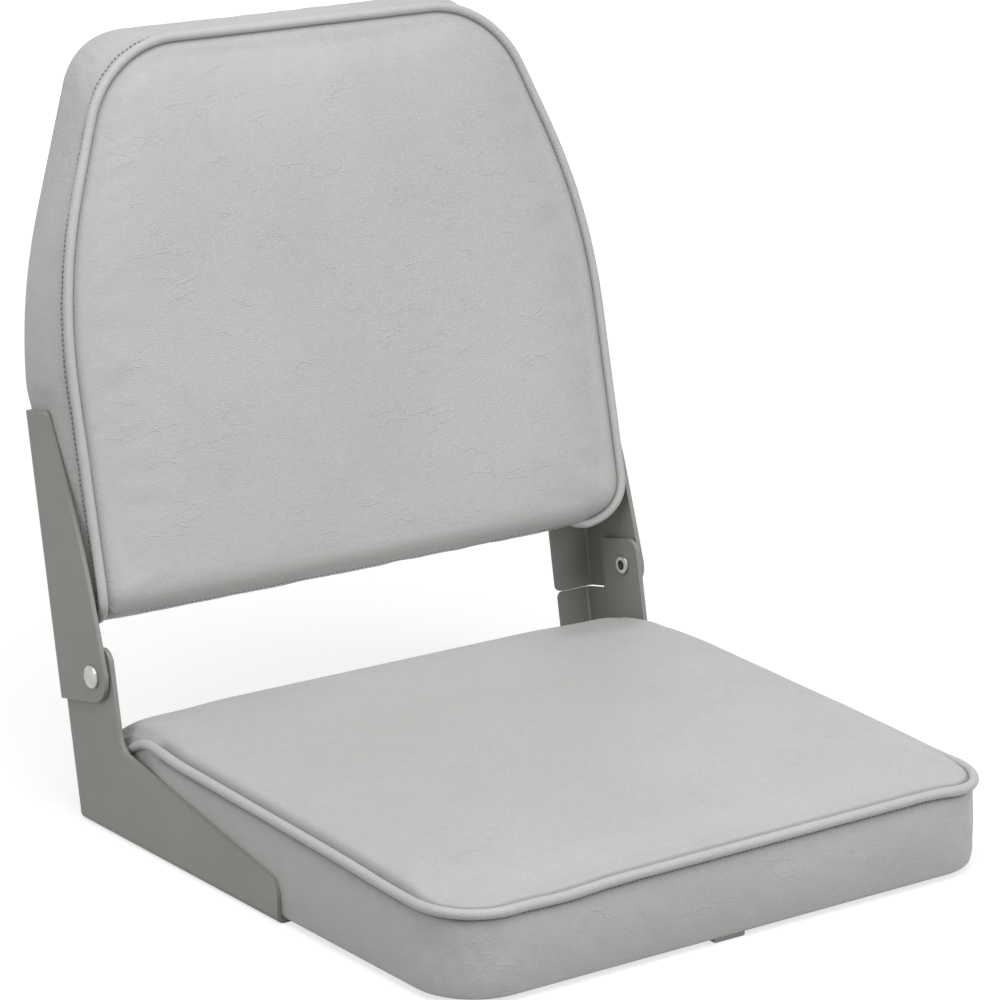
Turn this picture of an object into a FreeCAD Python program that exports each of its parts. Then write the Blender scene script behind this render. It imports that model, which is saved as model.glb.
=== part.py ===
import FreeCAD, Part
import math
import os

# Folding boat seat: a padded seat and a padded backrest joined by two folding sheet-steel brackets.
# Millimetres. +Z is up, -Y is the front of the seat and +X its right-hand side seen from the front.
# The origin is the centre of the pedestal bolt pattern on the underside of the seat board.

# Steel brackets
OVERALL_WIDTH = 406.0
SHEET = 3.0
BEND_RADIUS = 1.5
RECLINE = 10.8
PIVOT_Y = 170.0
PIVOT_Z = 94.0
PIVOT_UP = 16.0
PIVOT_FORWARD = 45.0
STOP_GAP = 0.6
BACK_BRACKET_HEIGHT = 176.0
BACK_BRACKET_TOP = 26.0
BACK_BRACKET_WAIST = 49.0
BACK_BRACKET_WAIST_UP = 95.0
BACK_BRACKET_WAIST_RADIUS = 260.0
BACK_BRACKET_TOP_RADIUS = 5.0
HINGE_END_RADIUS = 16.5
BACK_FLANGE = 31.0
SEAT_BRACKET_LENGTH = 221.0
SEAT_BRACKET_FRONT = 25.0
SEAT_BRACKET_SLOPE = 10.8
SEAT_BRACKET_NOSE_RADIUS = 12.0
SEAT_BRACKET_HEEL_RADIUS = 14.0
TONGUE_REAR = 23.0
TONGUE_WIDTH = 38.0
TONGUE_ABOVE_PIVOT = 17.0
TONGUE_RADIUS = 9.0
TONGUE_ROOT_RADIUS = 4.0
REAR_FLANGE = 26.0
BOTTOM_FLANGE = 30.0
FLANGE_CORNER = 4.0
CORNER_SLIT = 1.2

# Pivot
RIVET_RADIUS = 4.75
RIVET_BORE = 3.3
RIVET_BORE_DEPTH = 6.0
RIVET_HEAD_RADIUS = 7.25
RIVET_HEAD = 2.6
RIVET_ROLL_RADIUS = 6.2
RIVET_ROLL = 1.8
WASHER = 0.6
WASHER_RADIUS = 9.0
RUNNING_GAP = 0.05
SIDE_GAP = 0.1

# Vinyl, welt and boards
VINYL = 1.0
WELT_RADIUS = 3.0
WELT_GAP = 0.1
BACK_WELT_GAP = 1.2
CUSHION_GAP = 0.6
BOARD_GAP = 0.3
BOARD_REAR_GAP = 1.6
HEM = 28.0

# Seat cushion
SEAT_DEPTH = 388.0
SEAT_BOARD = 12.0
SEAT_CORNER = 38.0
SEAT_REAR_CORNER = 14.0
SEAT_BULGE = 2.5
SEAT_FOOT_INSET = 1.0
SEAT_NECK_INSET = 1.0
SEAT_ROLL = 33.0
SEAT_NECK_FRONT = 49.0
SEAT_NECK_SLOPE = 0.042
SEAT_CROWN = 11.0
CROWN_SHOULDER_SHARE = 0.8
CROWN_RISE_SHARE = 0.75
CROWN_TOP_SHARE = 0.6
SEAT_WAIST_RADIUS = 150.0
SEAT_WAIST_LENGTH = 50.0
SEAT_SEAM_END = 165.0
SEAT_SEAM_RADIUS = 45.0

# Back cushion, measured up the leaning back and forward from the rear faces of the flanges
BACK_BOTTOM = 44.0
BACK_TOP = 396.5
BACK_BOARD = 10.0
BACK_NECK_LOW = 56.0
BACK_NECK_SLOPE = 0.0365
BACK_CROWN = 10.5
BACK_NECK_INSET = 7.0
BACK_NECK_DROP = 11.0
BACK_NECK_LIFT = 6.0
BACK_NECK_SHOULDER = 5.5
BACK_SWELL = 3.6
BACK_SWELL_GAP = 2.0
BACK_REAR_INSET = 1.5
BACK_REAR_LIFT = 1.5
SHOULDER_LEAN = 21.0
SHOULDER_START = 236.0
SHOULDER_RADIUS = 330.0
BACK_TOP_RADIUS = 72.0
BACK_BOTTOM_RADIUS = 26.0
BACK_HEM = 20.0
BACK_WELT_END = 168.0

# Fasteners
PEDESTAL_SPACING = 127.0
PEDESTAL_THREAD = 2.6
TEE_BARREL = 4.0
TEE_FLANGE = 9.5
TEE_FLANGE_THICKNESS = 1.5
SCREW_RADIUS = 2.4
SCREW_HEAD_RADIUS = 4.7
PAN_HEAD = 2.6
SEAT_SCREW_Y = (0.0, 75.0, 150.0)
BACK_SCREW_UP = (66.0, 113.0, 160.0)
SEAT_SCREW_INSET = 21.0
BACK_SCREW_INSET = 17.0
STRIP_WIDTH = 22.0
STRIP_LENGTH = 60.0
STRIP_OFFSET = -5.0
STRIP_SETBACK = 1.5
STRIP_SCREW_PITCH = 32.0
STRIP_SCREW_DEPTH = 11.0
STRIP_ROUND = 1.0
STAPLE_CROWN = 10.0
STAPLE_WIRE = 0.7
STAPLE_LEG = 7.0
STAPLE_PITCH = 34.0

# Places that follow from the sizes above
LEAN = math.radians(RECLINE)
BACK_OUTER_X = OVERALL_WIDTH / 2
BACK_INNER_X = BACK_OUTER_X - SHEET
SEAT_OUTER_X = BACK_INNER_X - SIDE_GAP - WASHER
SEAT_INNER_X = SEAT_OUTER_X - SHEET
FOOT_Z = -VINYL - SHEET
SEAT_FRONT_Y = -SEAT_DEPTH / 2
SEAT_REAR_Y = SEAT_DEPTH / 2
SEAT_HALF = SEAT_INNER_X - CUSHION_GAP
SEAT_REAR_HALF = SEAT_HALF - 2 * WELT_RADIUS
BACK_HALF = BACK_INNER_X - CUSHION_GAP
BACK_WIDE = BACK_HALF + BACK_SWELL
TONGUE_FRONT = TONGUE_REAR + TONGUE_WIDTH
REACH = 2 * OVERALL_WIDTH

# Shares and tolerances of the drawing
RUN_SHARE = 0.96
LEAST_CORNER_SHARE = 0.6
RIM_SHARE = 0.65
TOUCH = 0.01


def reclined(up, forward):
    """Side-view place (y, z) at a height up the leaning back and a distance forward of its rear face."""
    rise = up - PIVOT_UP
    ahead = forward - PIVOT_FORWARD
    y = PIVOT_Y + rise * math.sin(LEAN) - ahead * math.cos(LEAN)
    z = PIVOT_Z + rise * math.cos(LEAN) + ahead * math.sin(LEAN)
    return y, z


def on_back(x, up, forward):
    """Point on the leaning back."""
    y, z = reclined(up, forward)
    return FreeCAD.Vector(x, y, z)


OUT_OF_THE_BACK = FreeCAD.Vector(0, -math.cos(LEAN), math.sin(LEAN))
UPWARD = FreeCAD.Vector(0, 0, 1)
RIGHTWARD = FreeCAD.Vector(1, 0, 0)


def toward(start, end):
    """Unit direction from one point to another."""
    direction = end - start
    direction.normalize()
    return direction


def rounded_wire(corners, closed=True):
    """Straight runs joined by tangent arcs; a corner is a point with its radius, which its runs limit."""
    points = [point for point, radius in corners]
    count = len(points)
    turns = [0.0] * count
    setbacks = [0.0] * count
    for i, (point, radius) in enumerate(corners):
        at_end = not closed and i in (0, count - 1)
        if radius > 0 and not at_end:
            into = toward(points[i - 1], point)
            away = toward(point, points[(i + 1) % count])
            turns[i] = into.getAngle(away)
            setbacks[i] = radius * math.tan(turns[i] / 2)
    room = [1.0] * count
    runs = count if closed else count - 1
    for i in range(runs):
        j = (i + 1) % count
        wanted = setbacks[i] + setbacks[j]
        share = RUN_SHARE * points[i].distanceToPoint(points[j]) / wanted if wanted > 0 else 1.0
        room[i] = min(room[i], share)
        room[j] = min(room[j], share)
    starts = []
    ends = []
    edges = []
    for i, point in enumerate(points):
        reach = setbacks[i] * room[i]
        if reach <= 0:
            starts.append(point)
            ends.append(point)
            edges.append(None)
            continue
        into = toward(points[i - 1], point)
        away = toward(point, points[(i + 1) % count])
        radius = reach / math.tan(turns[i] / 2)
        inward = away - into
        inward.normalize()
        middle = point + inward * (radius / math.cos(turns[i] / 2) - radius)
        starts.append(point - into * reach)
        ends.append(point + away * reach)
        edges.append(Part.Arc(starts[i], middle, ends[i]).toShape())
    loop = []
    for i in range(runs):
        j = (i + 1) % count
        loop.append(Part.LineSegment(ends[i], starts[j]).toShape())
        if edges[j] is not None:
            loop.append(edges[j])
    return Part.Wire(loop)


def prism(corners, extent):
    """Solid of a closed rounded outline pushed along a vector."""
    return Part.Face(rounded_wire(corners)).extrude(extent)


def side_prism(profile, x_start, x_end):
    """Solid of a side-view outline of (y, z, radius) between two planes across the seat."""
    corners = [(FreeCAD.Vector(x_start, y, z), radius) for y, z, radius in profile]
    return prism(corners, RIGHTWARD * (x_end - x_start))


def edges_at(shape, point, reach):
    """Edges whose middle lies near a point."""
    found = []
    for edge in shape.Edges:
        if edge.CenterOfMass.distanceToPoint(point) < reach:
            found.append(edge)
    return found


def mirrored(shape):
    """Left-hand copy of a right-hand piece."""
    return shape.mirror(FreeCAD.Vector(0, 0, 0), RIGHTWARD)


def cone_head(tip, axis):
    """Countersunk head whose flat face is at the tip, with the shank along the axis."""
    depth = SCREW_HEAD_RADIUS - SCREW_RADIUS
    return Part.makeCone(SCREW_HEAD_RADIUS, SCREW_RADIUS, depth, tip, axis)


def tee_nut(foot, axis, length, bore):
    """Tee nut whose barrel starts at the foot and whose flange lies on the far face of the board."""
    barrel = Part.makeCylinder(TEE_BARREL, length, foot, axis)
    flange = Part.makeCylinder(TEE_FLANGE, TEE_FLANGE_THICKNESS, foot + axis * length, axis)
    hole = Part.makeCylinder(bore, length + 2 * TEE_FLANGE_THICKNESS, foot, axis)
    return barrel.fuse(flange).removeSplitter().cut(hole)


def staple(centre, along, inward):
    """Wire staple with its crown lying on the hem and both legs driven inward."""
    across = along.cross(inward)
    half = STAPLE_WIRE / 2
    corner = centre - along * (STAPLE_CROWN / 2) - across * half - inward * STAPLE_WIRE
    legs = []
    profile = [
        (0.0, 0.0),
        (STAPLE_CROWN, 0.0),
        (STAPLE_CROWN, STAPLE_LEG),
        (STAPLE_CROWN - STAPLE_WIRE, STAPLE_LEG),
        (STAPLE_CROWN - STAPLE_WIRE, STAPLE_WIRE),
        (STAPLE_WIRE, STAPLE_WIRE),
        (STAPLE_WIRE, STAPLE_LEG),
        (0.0, STAPLE_LEG),
    ]
    for a, b in profile:
        legs.append((corner + along * a + inward * b, 0.0))
    return prism(legs, across * STAPLE_WIRE)


def spaced(start, end):
    """Evenly spaced places about a staple pitch apart."""
    count = max(1, round((end - start) / STAPLE_PITCH))
    step = (end - start) / count
    return [start + step * i for i in range(count + 1)]


# Seat cushion

def neck_height(y):
    """Height of the seam between the top panel and the side band."""
    return SEAT_NECK_FRONT + SEAT_NECK_SLOPE * (y - SEAT_FRONT_Y)


NECK_MIDDLE = neck_height(0.0)


def seat_outline(half, rear_half, front, rear, inset, height, slope):
    """Corners of the seat's plan at one level; the rear part is narrower, to pass between the tongues."""
    waist_end = reclined(0.0, TONGUE_FRONT)[0] - SEAT_BRACKET_HEEL_RADIUS
    waist_start = waist_end - SEAT_WAIST_LENGTH
    front_corner = max(SEAT_CORNER - inset, SEAT_CORNER * LEAST_CORNER_SHARE)
    plan = [
        (half, front, front_corner),
        (half, waist_start, SEAT_WAIST_RADIUS),
        (rear_half, waist_end, SEAT_WAIST_RADIUS),
        (rear_half, rear, SEAT_REAR_CORNER),
    ]
    right = []
    left = []
    for x, y, radius in plan:
        z = height + slope * y
        right.append((FreeCAD.Vector(x, y, z), radius))
        left.append((FreeCAD.Vector(-x, y, z), radius))
    return right + left[::-1]


def seat_neck(skin):
    """Outline of the cushion at the seam of the top panel, inset by a skin."""
    half = SEAT_HALF - SEAT_NECK_INSET - skin
    front = SEAT_FRONT_Y + skin
    rear = SEAT_REAR_Y - SEAT_ROLL - skin
    corners = seat_outline(half, SEAT_REAR_HALF - skin, front, rear, skin, NECK_MIDDLE, SEAT_NECK_SLOPE)
    return rounded_wire(corners)


def seat_walls(skin, foot):
    """Lower part of the cushion: bulging sides and a rolled rear edge, up to the seam."""
    rear_half = SEAT_REAR_HALF - skin
    rear = SEAT_REAR_Y - skin
    half = SEAT_HALF - skin
    front = SEAT_FRONT_Y + skin
    low = seat_outline(half - SEAT_FOOT_INSET, rear_half, front, rear, skin, foot, 0.0)
    middle_height = NECK_MIDDLE / 2
    slope = SEAT_NECK_SLOPE / 2
    bulged = front - SEAT_BULGE
    rolling = rear - SEAT_ROLL / 4
    middle = seat_outline(half, rear_half, bulged, rolling, skin, middle_height, slope)
    return Part.makeLoft([rounded_wire(low), rounded_wire(middle), seat_neck(skin)], True, False)


def crown(base, direction, rise):
    """Dome on a flat outline, drawn in towards its centre as it rises."""
    wires = [base]
    centre = base.BoundBox.Center
    for share, height in ((CROWN_SHOULDER_SHARE, CROWN_RISE_SHARE), (CROWN_TOP_SHARE, 1.0)):
        ring = base.copy()
        ring.scale(share, centre)
        ring.translate(direction * (rise * height))
        wires.append(ring)
    return Part.makeLoft(wires, True, False)


def seat_seam_profile():
    """Side view of all that lies above and behind the seam of the side band."""
    front = SEAT_FRONT_Y - REACH
    top = REACH
    return [
        (front, neck_height(front), 0.0),
        (SEAT_SEAM_END, neck_height(SEAT_SEAM_END), SEAT_SEAM_RADIUS),
        (SEAT_SEAM_END, -REACH, 0.0),
        (SEAT_SEAM_END + REACH, -REACH, 0.0),
        (SEAT_SEAM_END + REACH, top, 0.0),
        (front, top, 0.0),
    ]


def seat_board_outline(inset):
    """Plan of the board, or of a smaller outline inside it, on the underside of the board."""
    gap = inset + VINYL + BOARD_GAP
    half = SEAT_HALF - SEAT_FOOT_INSET - gap
    rear_half = SEAT_REAR_HALF - gap
    rear = SEAT_REAR_Y - gap - BOARD_REAR_GAP
    return seat_outline(half, rear_half, SEAT_FRONT_Y + gap, rear, gap, 0.0, 0.0)


def seat_screw_places():
    """Places of the bracket screws on the underside of the bottom flanges."""
    x = SEAT_OUTER_X - SEAT_SCREW_INSET
    return [FreeCAD.Vector(side * x, y, FOOT_Z) for side in (-1, 1) for y in SEAT_SCREW_Y]


def strip_screw_places():
    """Places of the strip's screws on its underside."""
    front = SEAT_FRONT_Y + STRIP_SETBACK + (STRIP_LENGTH - STRIP_SCREW_PITCH) / 2
    return [FreeCAD.Vector(STRIP_OFFSET, front + i * STRIP_SCREW_PITCH, FOOT_Z) for i in range(2)]


def pedestal_places():
    """Places of the pedestal bolts on the underside of the board."""
    half = PEDESTAL_SPACING / 2
    return [FreeCAD.Vector(x * half, y * half, 0) for x in (-1, 1) for y in (-1, 1)]


def build_seat(nodes):
    """Board, foam, covers, welt and fasteners of the seat."""
    pedestal_nuts = [tee_nut(place, UPWARD, SEAT_BOARD, PEDESTAL_THREAD) for place in pedestal_places()]
    screw_nuts = []
    for place in seat_screw_places():
        foot = FreeCAD.Vector(place.x, place.y, 0)
        screw_nuts.append(tee_nut(foot, UPWARD, SEAT_BOARD, SCREW_RADIUS))
    board = prism(seat_board_outline(0.0), UPWARD * SEAT_BOARD)
    for place in pedestal_places() + seat_screw_places():
        foot = FreeCAD.Vector(place.x, place.y, -SEAT_BOARD)
        board = board.cut(Part.makeCylinder(TEE_BARREL, 3 * SEAT_BOARD, foot, UPWARD))

    strip_screws = []
    for place in strip_screw_places():
        shank = Part.makeCylinder(SCREW_RADIUS, STRIP_SCREW_DEPTH - FOOT_Z, place, UPWARD)
        screw = shank.fuse(cone_head(place, UPWARD)).removeSplitter()
        strip_screws.append(screw)
        board = board.cut(screw)

    walls = seat_walls(VINYL, 0.0)
    dome = crown(seat_neck(VINYL), UPWARD, SEAT_CROWN - VINYL)
    opening = prism(seat_board_outline(HEM), UPWARD * (4 * VINYL))
    opening.translate(UPWARD * (-2 * VINYL))
    band = seat_walls(0.0, -VINYL).cut(walls).cut(opening)
    for place in seat_screw_places() + strip_screw_places():
        band = band.cut(Part.makeCylinder(SCREW_RADIUS, 4 * VINYL - FOOT_Z, place, UPWARD))
    behind_seam = side_prism(seat_seam_profile(), -REACH, REACH)
    top_panel = crown(seat_neck(0.0), UPWARD, SEAT_CROWN).cut(dome)

    base = Part.makeBox(2 * REACH, 2 * REACH, REACH, FreeCAD.Vector(-REACH, -REACH, SEAT_BOARD - REACH))
    foam = walls.cut(base).fuse(dome)
    for nut in pedestal_nuts + screw_nuts:
        place = nut.BoundBox.Center
        pocket = FreeCAD.Vector(place.x, place.y, SEAT_BOARD)
        foam = foam.cut(Part.makeCylinder(TEE_FLANGE, TEE_FLANGE_THICKNESS, pocket, UPWARD))

    nodes["seat_board"] = board
    nodes["seat_foam"] = foam
    nodes["seat_top_cover"] = top_panel.fuse(band.common(behind_seam))
    nodes["seat_boxing"] = band.cut(behind_seam)
    nodes["seat_welt"] = seat_welt()
    nodes["seat_staples"] = Part.makeCompound(seat_staples())
    nodes["pedestal_tee_nuts"] = Part.makeCompound(pedestal_nuts)
    nodes["seat_bracket_tee_nuts"] = Part.makeCompound(screw_nuts)
    nodes["front_strip_screws"] = Part.makeCompound(strip_screws)


def swept_round(path, radius):
    """Round cord along a wire."""
    start = path.OrderedEdges[0]
    point = start.valueAt(start.FirstParameter)
    direction = start.tangentAt(start.FirstParameter)
    section = Part.Wire(Part.makeCircle(radius, point, direction))
    return path.makePipeShell([section], True, False)


def seat_welt():
    """Piping up one side of the rear roll, round the front, and down the other side."""
    stand_off = WELT_RADIUS + WELT_GAP
    half = SEAT_HALF - SEAT_NECK_INSET + stand_off
    rear_half = SEAT_REAR_HALF + stand_off
    front = SEAT_FRONT_Y - stand_off
    end = SEAT_SEAM_END
    outline = seat_outline(half, rear_half, front, end, -stand_off, NECK_MIDDLE, SEAT_NECK_SLOPE)
    right = outline[:4]
    left = outline[4:]
    foot = SEAT_BOARD / 2
    drop = SEAT_SEAM_RADIUS
    right[3] = (right[3][0], drop)
    left[0] = (left[0][0], drop)
    right_foot = FreeCAD.Vector(rear_half, SEAT_SEAM_END, foot)
    left_foot = FreeCAD.Vector(-rear_half, SEAT_SEAM_END, foot)
    corners = [(right_foot, 0.0)] + right[::-1] + left[::-1] + [(left_foot, 0.0)]
    return swept_round(rounded_wire(corners, closed=False), WELT_RADIUS)


def seat_staples():
    """Staples along the hem on the underside, clear of the flanges and of the front strip."""
    middle = HEM / 2
    front = SEAT_FRONT_Y + middle
    rear = SEAT_REAR_Y - middle
    side = SEAT_HALF - middle
    bracket_front = reclined_foot()[0] - SEAT_BRACKET_LENGTH
    flange_edge = SEAT_OUTER_X - BOTTOM_FLANGE
    along_x = FreeCAD.Vector(1, 0, 0)
    along_y = FreeCAD.Vector(0, 1, 0)
    clear = STAPLE_CROWN
    staples = []
    for x in spaced(-side + SEAT_CORNER, side - SEAT_CORNER):
        if abs(x - STRIP_OFFSET) > STRIP_WIDTH / 2 + clear:
            staples.append(staple(FreeCAD.Vector(x, front, -VINYL), along_x, UPWARD))
    for x in spaced(-flange_edge + clear, flange_edge - clear):
        staples.append(staple(FreeCAD.Vector(x, rear, -VINYL), along_x, UPWARD))
    for y in spaced(front + SEAT_CORNER, bracket_front - clear):
        staples.append(staple(FreeCAD.Vector(side, y, -VINYL), along_y, UPWARD))
        staples.append(staple(FreeCAD.Vector(-side, y, -VINYL), along_y, UPWARD))
    return staples


# Seat brackets

def reclined_foot():
    """Side-view place where the rear face of the lower flange meets the floor plane."""
    up = PIVOT_UP + (FOOT_Z - PIVOT_Z + PIVOT_FORWARD * math.sin(LEAN)) / math.cos(LEAN)
    return reclined(up, 0.0)


def seat_bracket():
    """Right-hand lower bracket: side plate with tongue, bottom flange and rear flange."""
    heel = reclined_foot()
    front = heel[0] - SEAT_BRACKET_LENGTH
    nose = FOOT_Z + SEAT_BRACKET_FRONT
    slope = math.tan(math.radians(SEAT_BRACKET_SLOPE))
    tongue_foot = reclined(0.0, TONGUE_FRONT)
    lean = math.tan(LEAN)
    crotch_z = (nose + slope * (tongue_foot[0] - lean * tongue_foot[1] - front)) / (1 - slope * lean)
    crotch_y = tongue_foot[0] + lean * (crotch_z - tongue_foot[1])
    tongue_top = PIVOT_UP + TONGUE_ABOVE_PIVOT
    profile = [
        heel + (0.0,),
        reclined(-STOP_GAP, 0.0) + (0.0,),
        reclined(-STOP_GAP, TONGUE_REAR) + (TONGUE_ROOT_RADIUS,),
        reclined(tongue_top, TONGUE_REAR) + (TONGUE_ROOT_RADIUS,),
        reclined(tongue_top, TONGUE_FRONT) + (TONGUE_RADIUS,),
        (crotch_y, crotch_z, SEAT_BRACKET_HEEL_RADIUS),
        (front, nose, SEAT_BRACKET_NOSE_RADIUS),
        (front, FOOT_Z, 0.0),
    ]
    widest = max(BOTTOM_FLANGE, REAR_FLANGE)
    block = side_prism(profile, SEAT_OUTER_X - widest, SEAT_OUTER_X)
    outside = BEND_RADIUS + SHEET
    shoulder = reclined(-STOP_GAP, 0.0)
    rear_edge = FreeCAD.Vector(SEAT_OUTER_X, (heel[0] + shoulder[0]) / 2, (heel[1] + shoulder[1]) / 2)
    block = block.makeFillet(outside, edges_at(block, rear_edge, 1.0))
    for edge in block.Edges:
        low = edge.BoundBox.ZMax < FOOT_Z + TOUCH
        if low and edge.BoundBox.XMin > SEAT_OUTER_X - TOUCH:
            bottom_edge = edge
    block = block.makeFillet(outside, [bottom_edge])

    floor = FOOT_Z + SHEET
    inner_heel = PIVOT_UP + (floor - PIVOT_Z - (SHEET - PIVOT_FORWARD) * math.sin(LEAN)) / math.cos(LEAN)
    high = BACK_BRACKET_HEIGHT
    hollow_profile = [
        reclined(inner_heel, SHEET) + (0.0,),
        reclined(high, SHEET) + (0.0,),
        (front - high, reclined(high, SHEET)[1], 0.0),
        (front - high, floor, 0.0),
    ]
    hollow = side_prism(hollow_profile, SEAT_OUTER_X - 2 * widest, SEAT_INNER_X)
    inside_edges = []
    for edge in hollow.Edges:
        middle = edge.CenterOfMass
        on_floor = abs(middle.z - floor) < TOUCH
        on_rear = abs(middle.y - (reclined(inner_heel, SHEET)[0] + reclined(high, SHEET)[0]) / 2) < TOUCH
        if abs(middle.x - SEAT_INNER_X) < TOUCH and (on_floor or on_rear):
            inside_edges.append(edge)
    hollow = hollow.makeFillet(BEND_RADIUS, inside_edges)
    bracket = block.cut(hollow)

    slit_rear = reclined(inner_heel, SHEET)[0]
    slit_side = SEAT_INNER_X - BEND_RADIUS
    slit = Part.makeBox(2 * widest, CORNER_SLIT, 2 * SHEET)
    slit.translate(FreeCAD.Vector(slit_side - 2 * widest, slit_rear - CORNER_SLIT, FOOT_Z - SHEET / 2))
    trim = Part.makeBox(widest, REACH, REACH)
    trim_y = slit_rear - CORNER_SLIT / 2
    trim.translate(FreeCAD.Vector(SEAT_OUTER_X - REAR_FLANGE - widest, trim_y, FOOT_Z - SHEET))
    bracket = bracket.cut(slit).cut(trim)

    rear_corner = on_back(SEAT_OUTER_X - REAR_FLANGE, -STOP_GAP, SHEET / 2)
    flange_x = SEAT_OUTER_X - BOTTOM_FLANGE
    flange_z = FOOT_Z + SHEET / 2
    front_corner = FreeCAD.Vector(flange_x, front, flange_z)
    back_corner = FreeCAD.Vector(flange_x, slit_rear - CORNER_SLIT, flange_z)
    for corner in (rear_corner, front_corner, back_corner):
        bracket = bracket.makeFillet(FLANGE_CORNER, edges_at(bracket, corner, SHEET / 2))

    pivot = FreeCAD.Vector(SEAT_INNER_X - SHEET, PIVOT_Y, PIVOT_Z)
    bracket = bracket.cut(Part.makeCylinder(RIVET_RADIUS, 3 * SHEET, pivot, RIGHTWARD))
    for place in seat_screw_places():
        bracket = bracket.cut(Part.makeCylinder(SCREW_RADIUS, 2 * SHEET, place, UPWARD))
        bracket = bracket.cut(cone_head(place, UPWARD))
    return bracket


def build_seat_brackets(nodes):
    """Lower brackets with their screws, and the strip that levels the front of the seat with them."""
    bracket = seat_bracket()
    screws = []
    for place in seat_screw_places():
        shank = Part.makeCylinder(SCREW_RADIUS, SEAT_BOARD - FOOT_Z, place, UPWARD)
        screws.append(shank.fuse(cone_head(place, UPWARD)).removeSplitter())
    strip = Part.makeBox(STRIP_WIDTH, STRIP_LENGTH, SHEET)
    strip_y = SEAT_FRONT_Y + STRIP_SETBACK
    strip.translate(FreeCAD.Vector(STRIP_OFFSET - STRIP_WIDTH / 2, strip_y, FOOT_Z))
    long_edges = [edge for edge in strip.Edges if abs(edge.tangentAt(edge.FirstParameter).y) > 0.9]
    lower_edges = [edge for edge in long_edges if edge.CenterOfMass.z < FOOT_Z + SHEET / 2]
    strip = strip.makeFillet(STRIP_ROUND, lower_edges)
    for place in strip_screw_places():
        strip = strip.cut(Part.makeCylinder(SCREW_RADIUS, 2 * SHEET, place, UPWARD))
        strip = strip.cut(cone_head(place, UPWARD))
    nodes["seat_bracket_right"] = bracket
    nodes["seat_bracket_left"] = mirrored(bracket)
    nodes["seat_bracket_screws"] = Part.makeCompound(screws)
    nodes["front_rest_strip"] = strip


# Pivot

def build_pivot(nodes):
    """Tubular rivets and the washers between the plates."""
    head_x = BACK_OUTER_X + SIDE_GAP
    seat = FreeCAD.Vector(head_x, PIVOT_Y, PIVOT_Z)
    head = Part.makeCylinder(RIVET_HEAD_RADIUS, RIVET_HEAD, seat, RIGHTWARD)
    rim = [edge for edge in head.Edges if abs(edge.CenterOfMass.x - head_x - RIVET_HEAD) < TOUCH]
    head = head.makeFillet(RIVET_HEAD * RIM_SHARE, rim)
    roll_x = SEAT_INNER_X - RIVET_ROLL
    start = FreeCAD.Vector(roll_x, PIVOT_Y, PIVOT_Z)
    roll = Part.makeCylinder(RIVET_ROLL_RADIUS, RIVET_ROLL, start, RIGHTWARD)
    rim = [edge for edge in roll.Edges if abs(edge.CenterOfMass.x - roll_x) < TOUCH]
    roll = roll.makeFillet(RIVET_ROLL * RIM_SHARE, rim)
    shank = Part.makeCylinder(RIVET_RADIUS, head_x - roll_x, start, RIGHTWARD)
    rivet = head.fuse(shank).fuse(roll).removeSplitter()
    rivet = rivet.cut(Part.makeCylinder(RIVET_BORE, RIVET_BORE_DEPTH, start, RIGHTWARD))
    washer_start = FreeCAD.Vector(SEAT_OUTER_X, PIVOT_Y, PIVOT_Z)
    washer = Part.makeCylinder(WASHER_RADIUS, WASHER, washer_start, RIGHTWARD)
    washer = washer.cut(Part.makeCylinder(RIVET_RADIUS + RUNNING_GAP, WASHER, washer_start, RIGHTWARD))
    nodes["pivot_rivet_right"] = rivet
    nodes["pivot_rivet_left"] = mirrored(rivet)
    nodes["pivot_washer_right"] = washer
    nodes["pivot_washer_left"] = mirrored(washer)


# Back brackets

def back_screw_places():
    """Places of the back bracket screws on the rear faces of the flanges."""
    x = BACK_OUTER_X - BACK_SCREW_INSET
    return [on_back(side * x, up, 0.0) for side in (-1, 1) for up in BACK_SCREW_UP]


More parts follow.
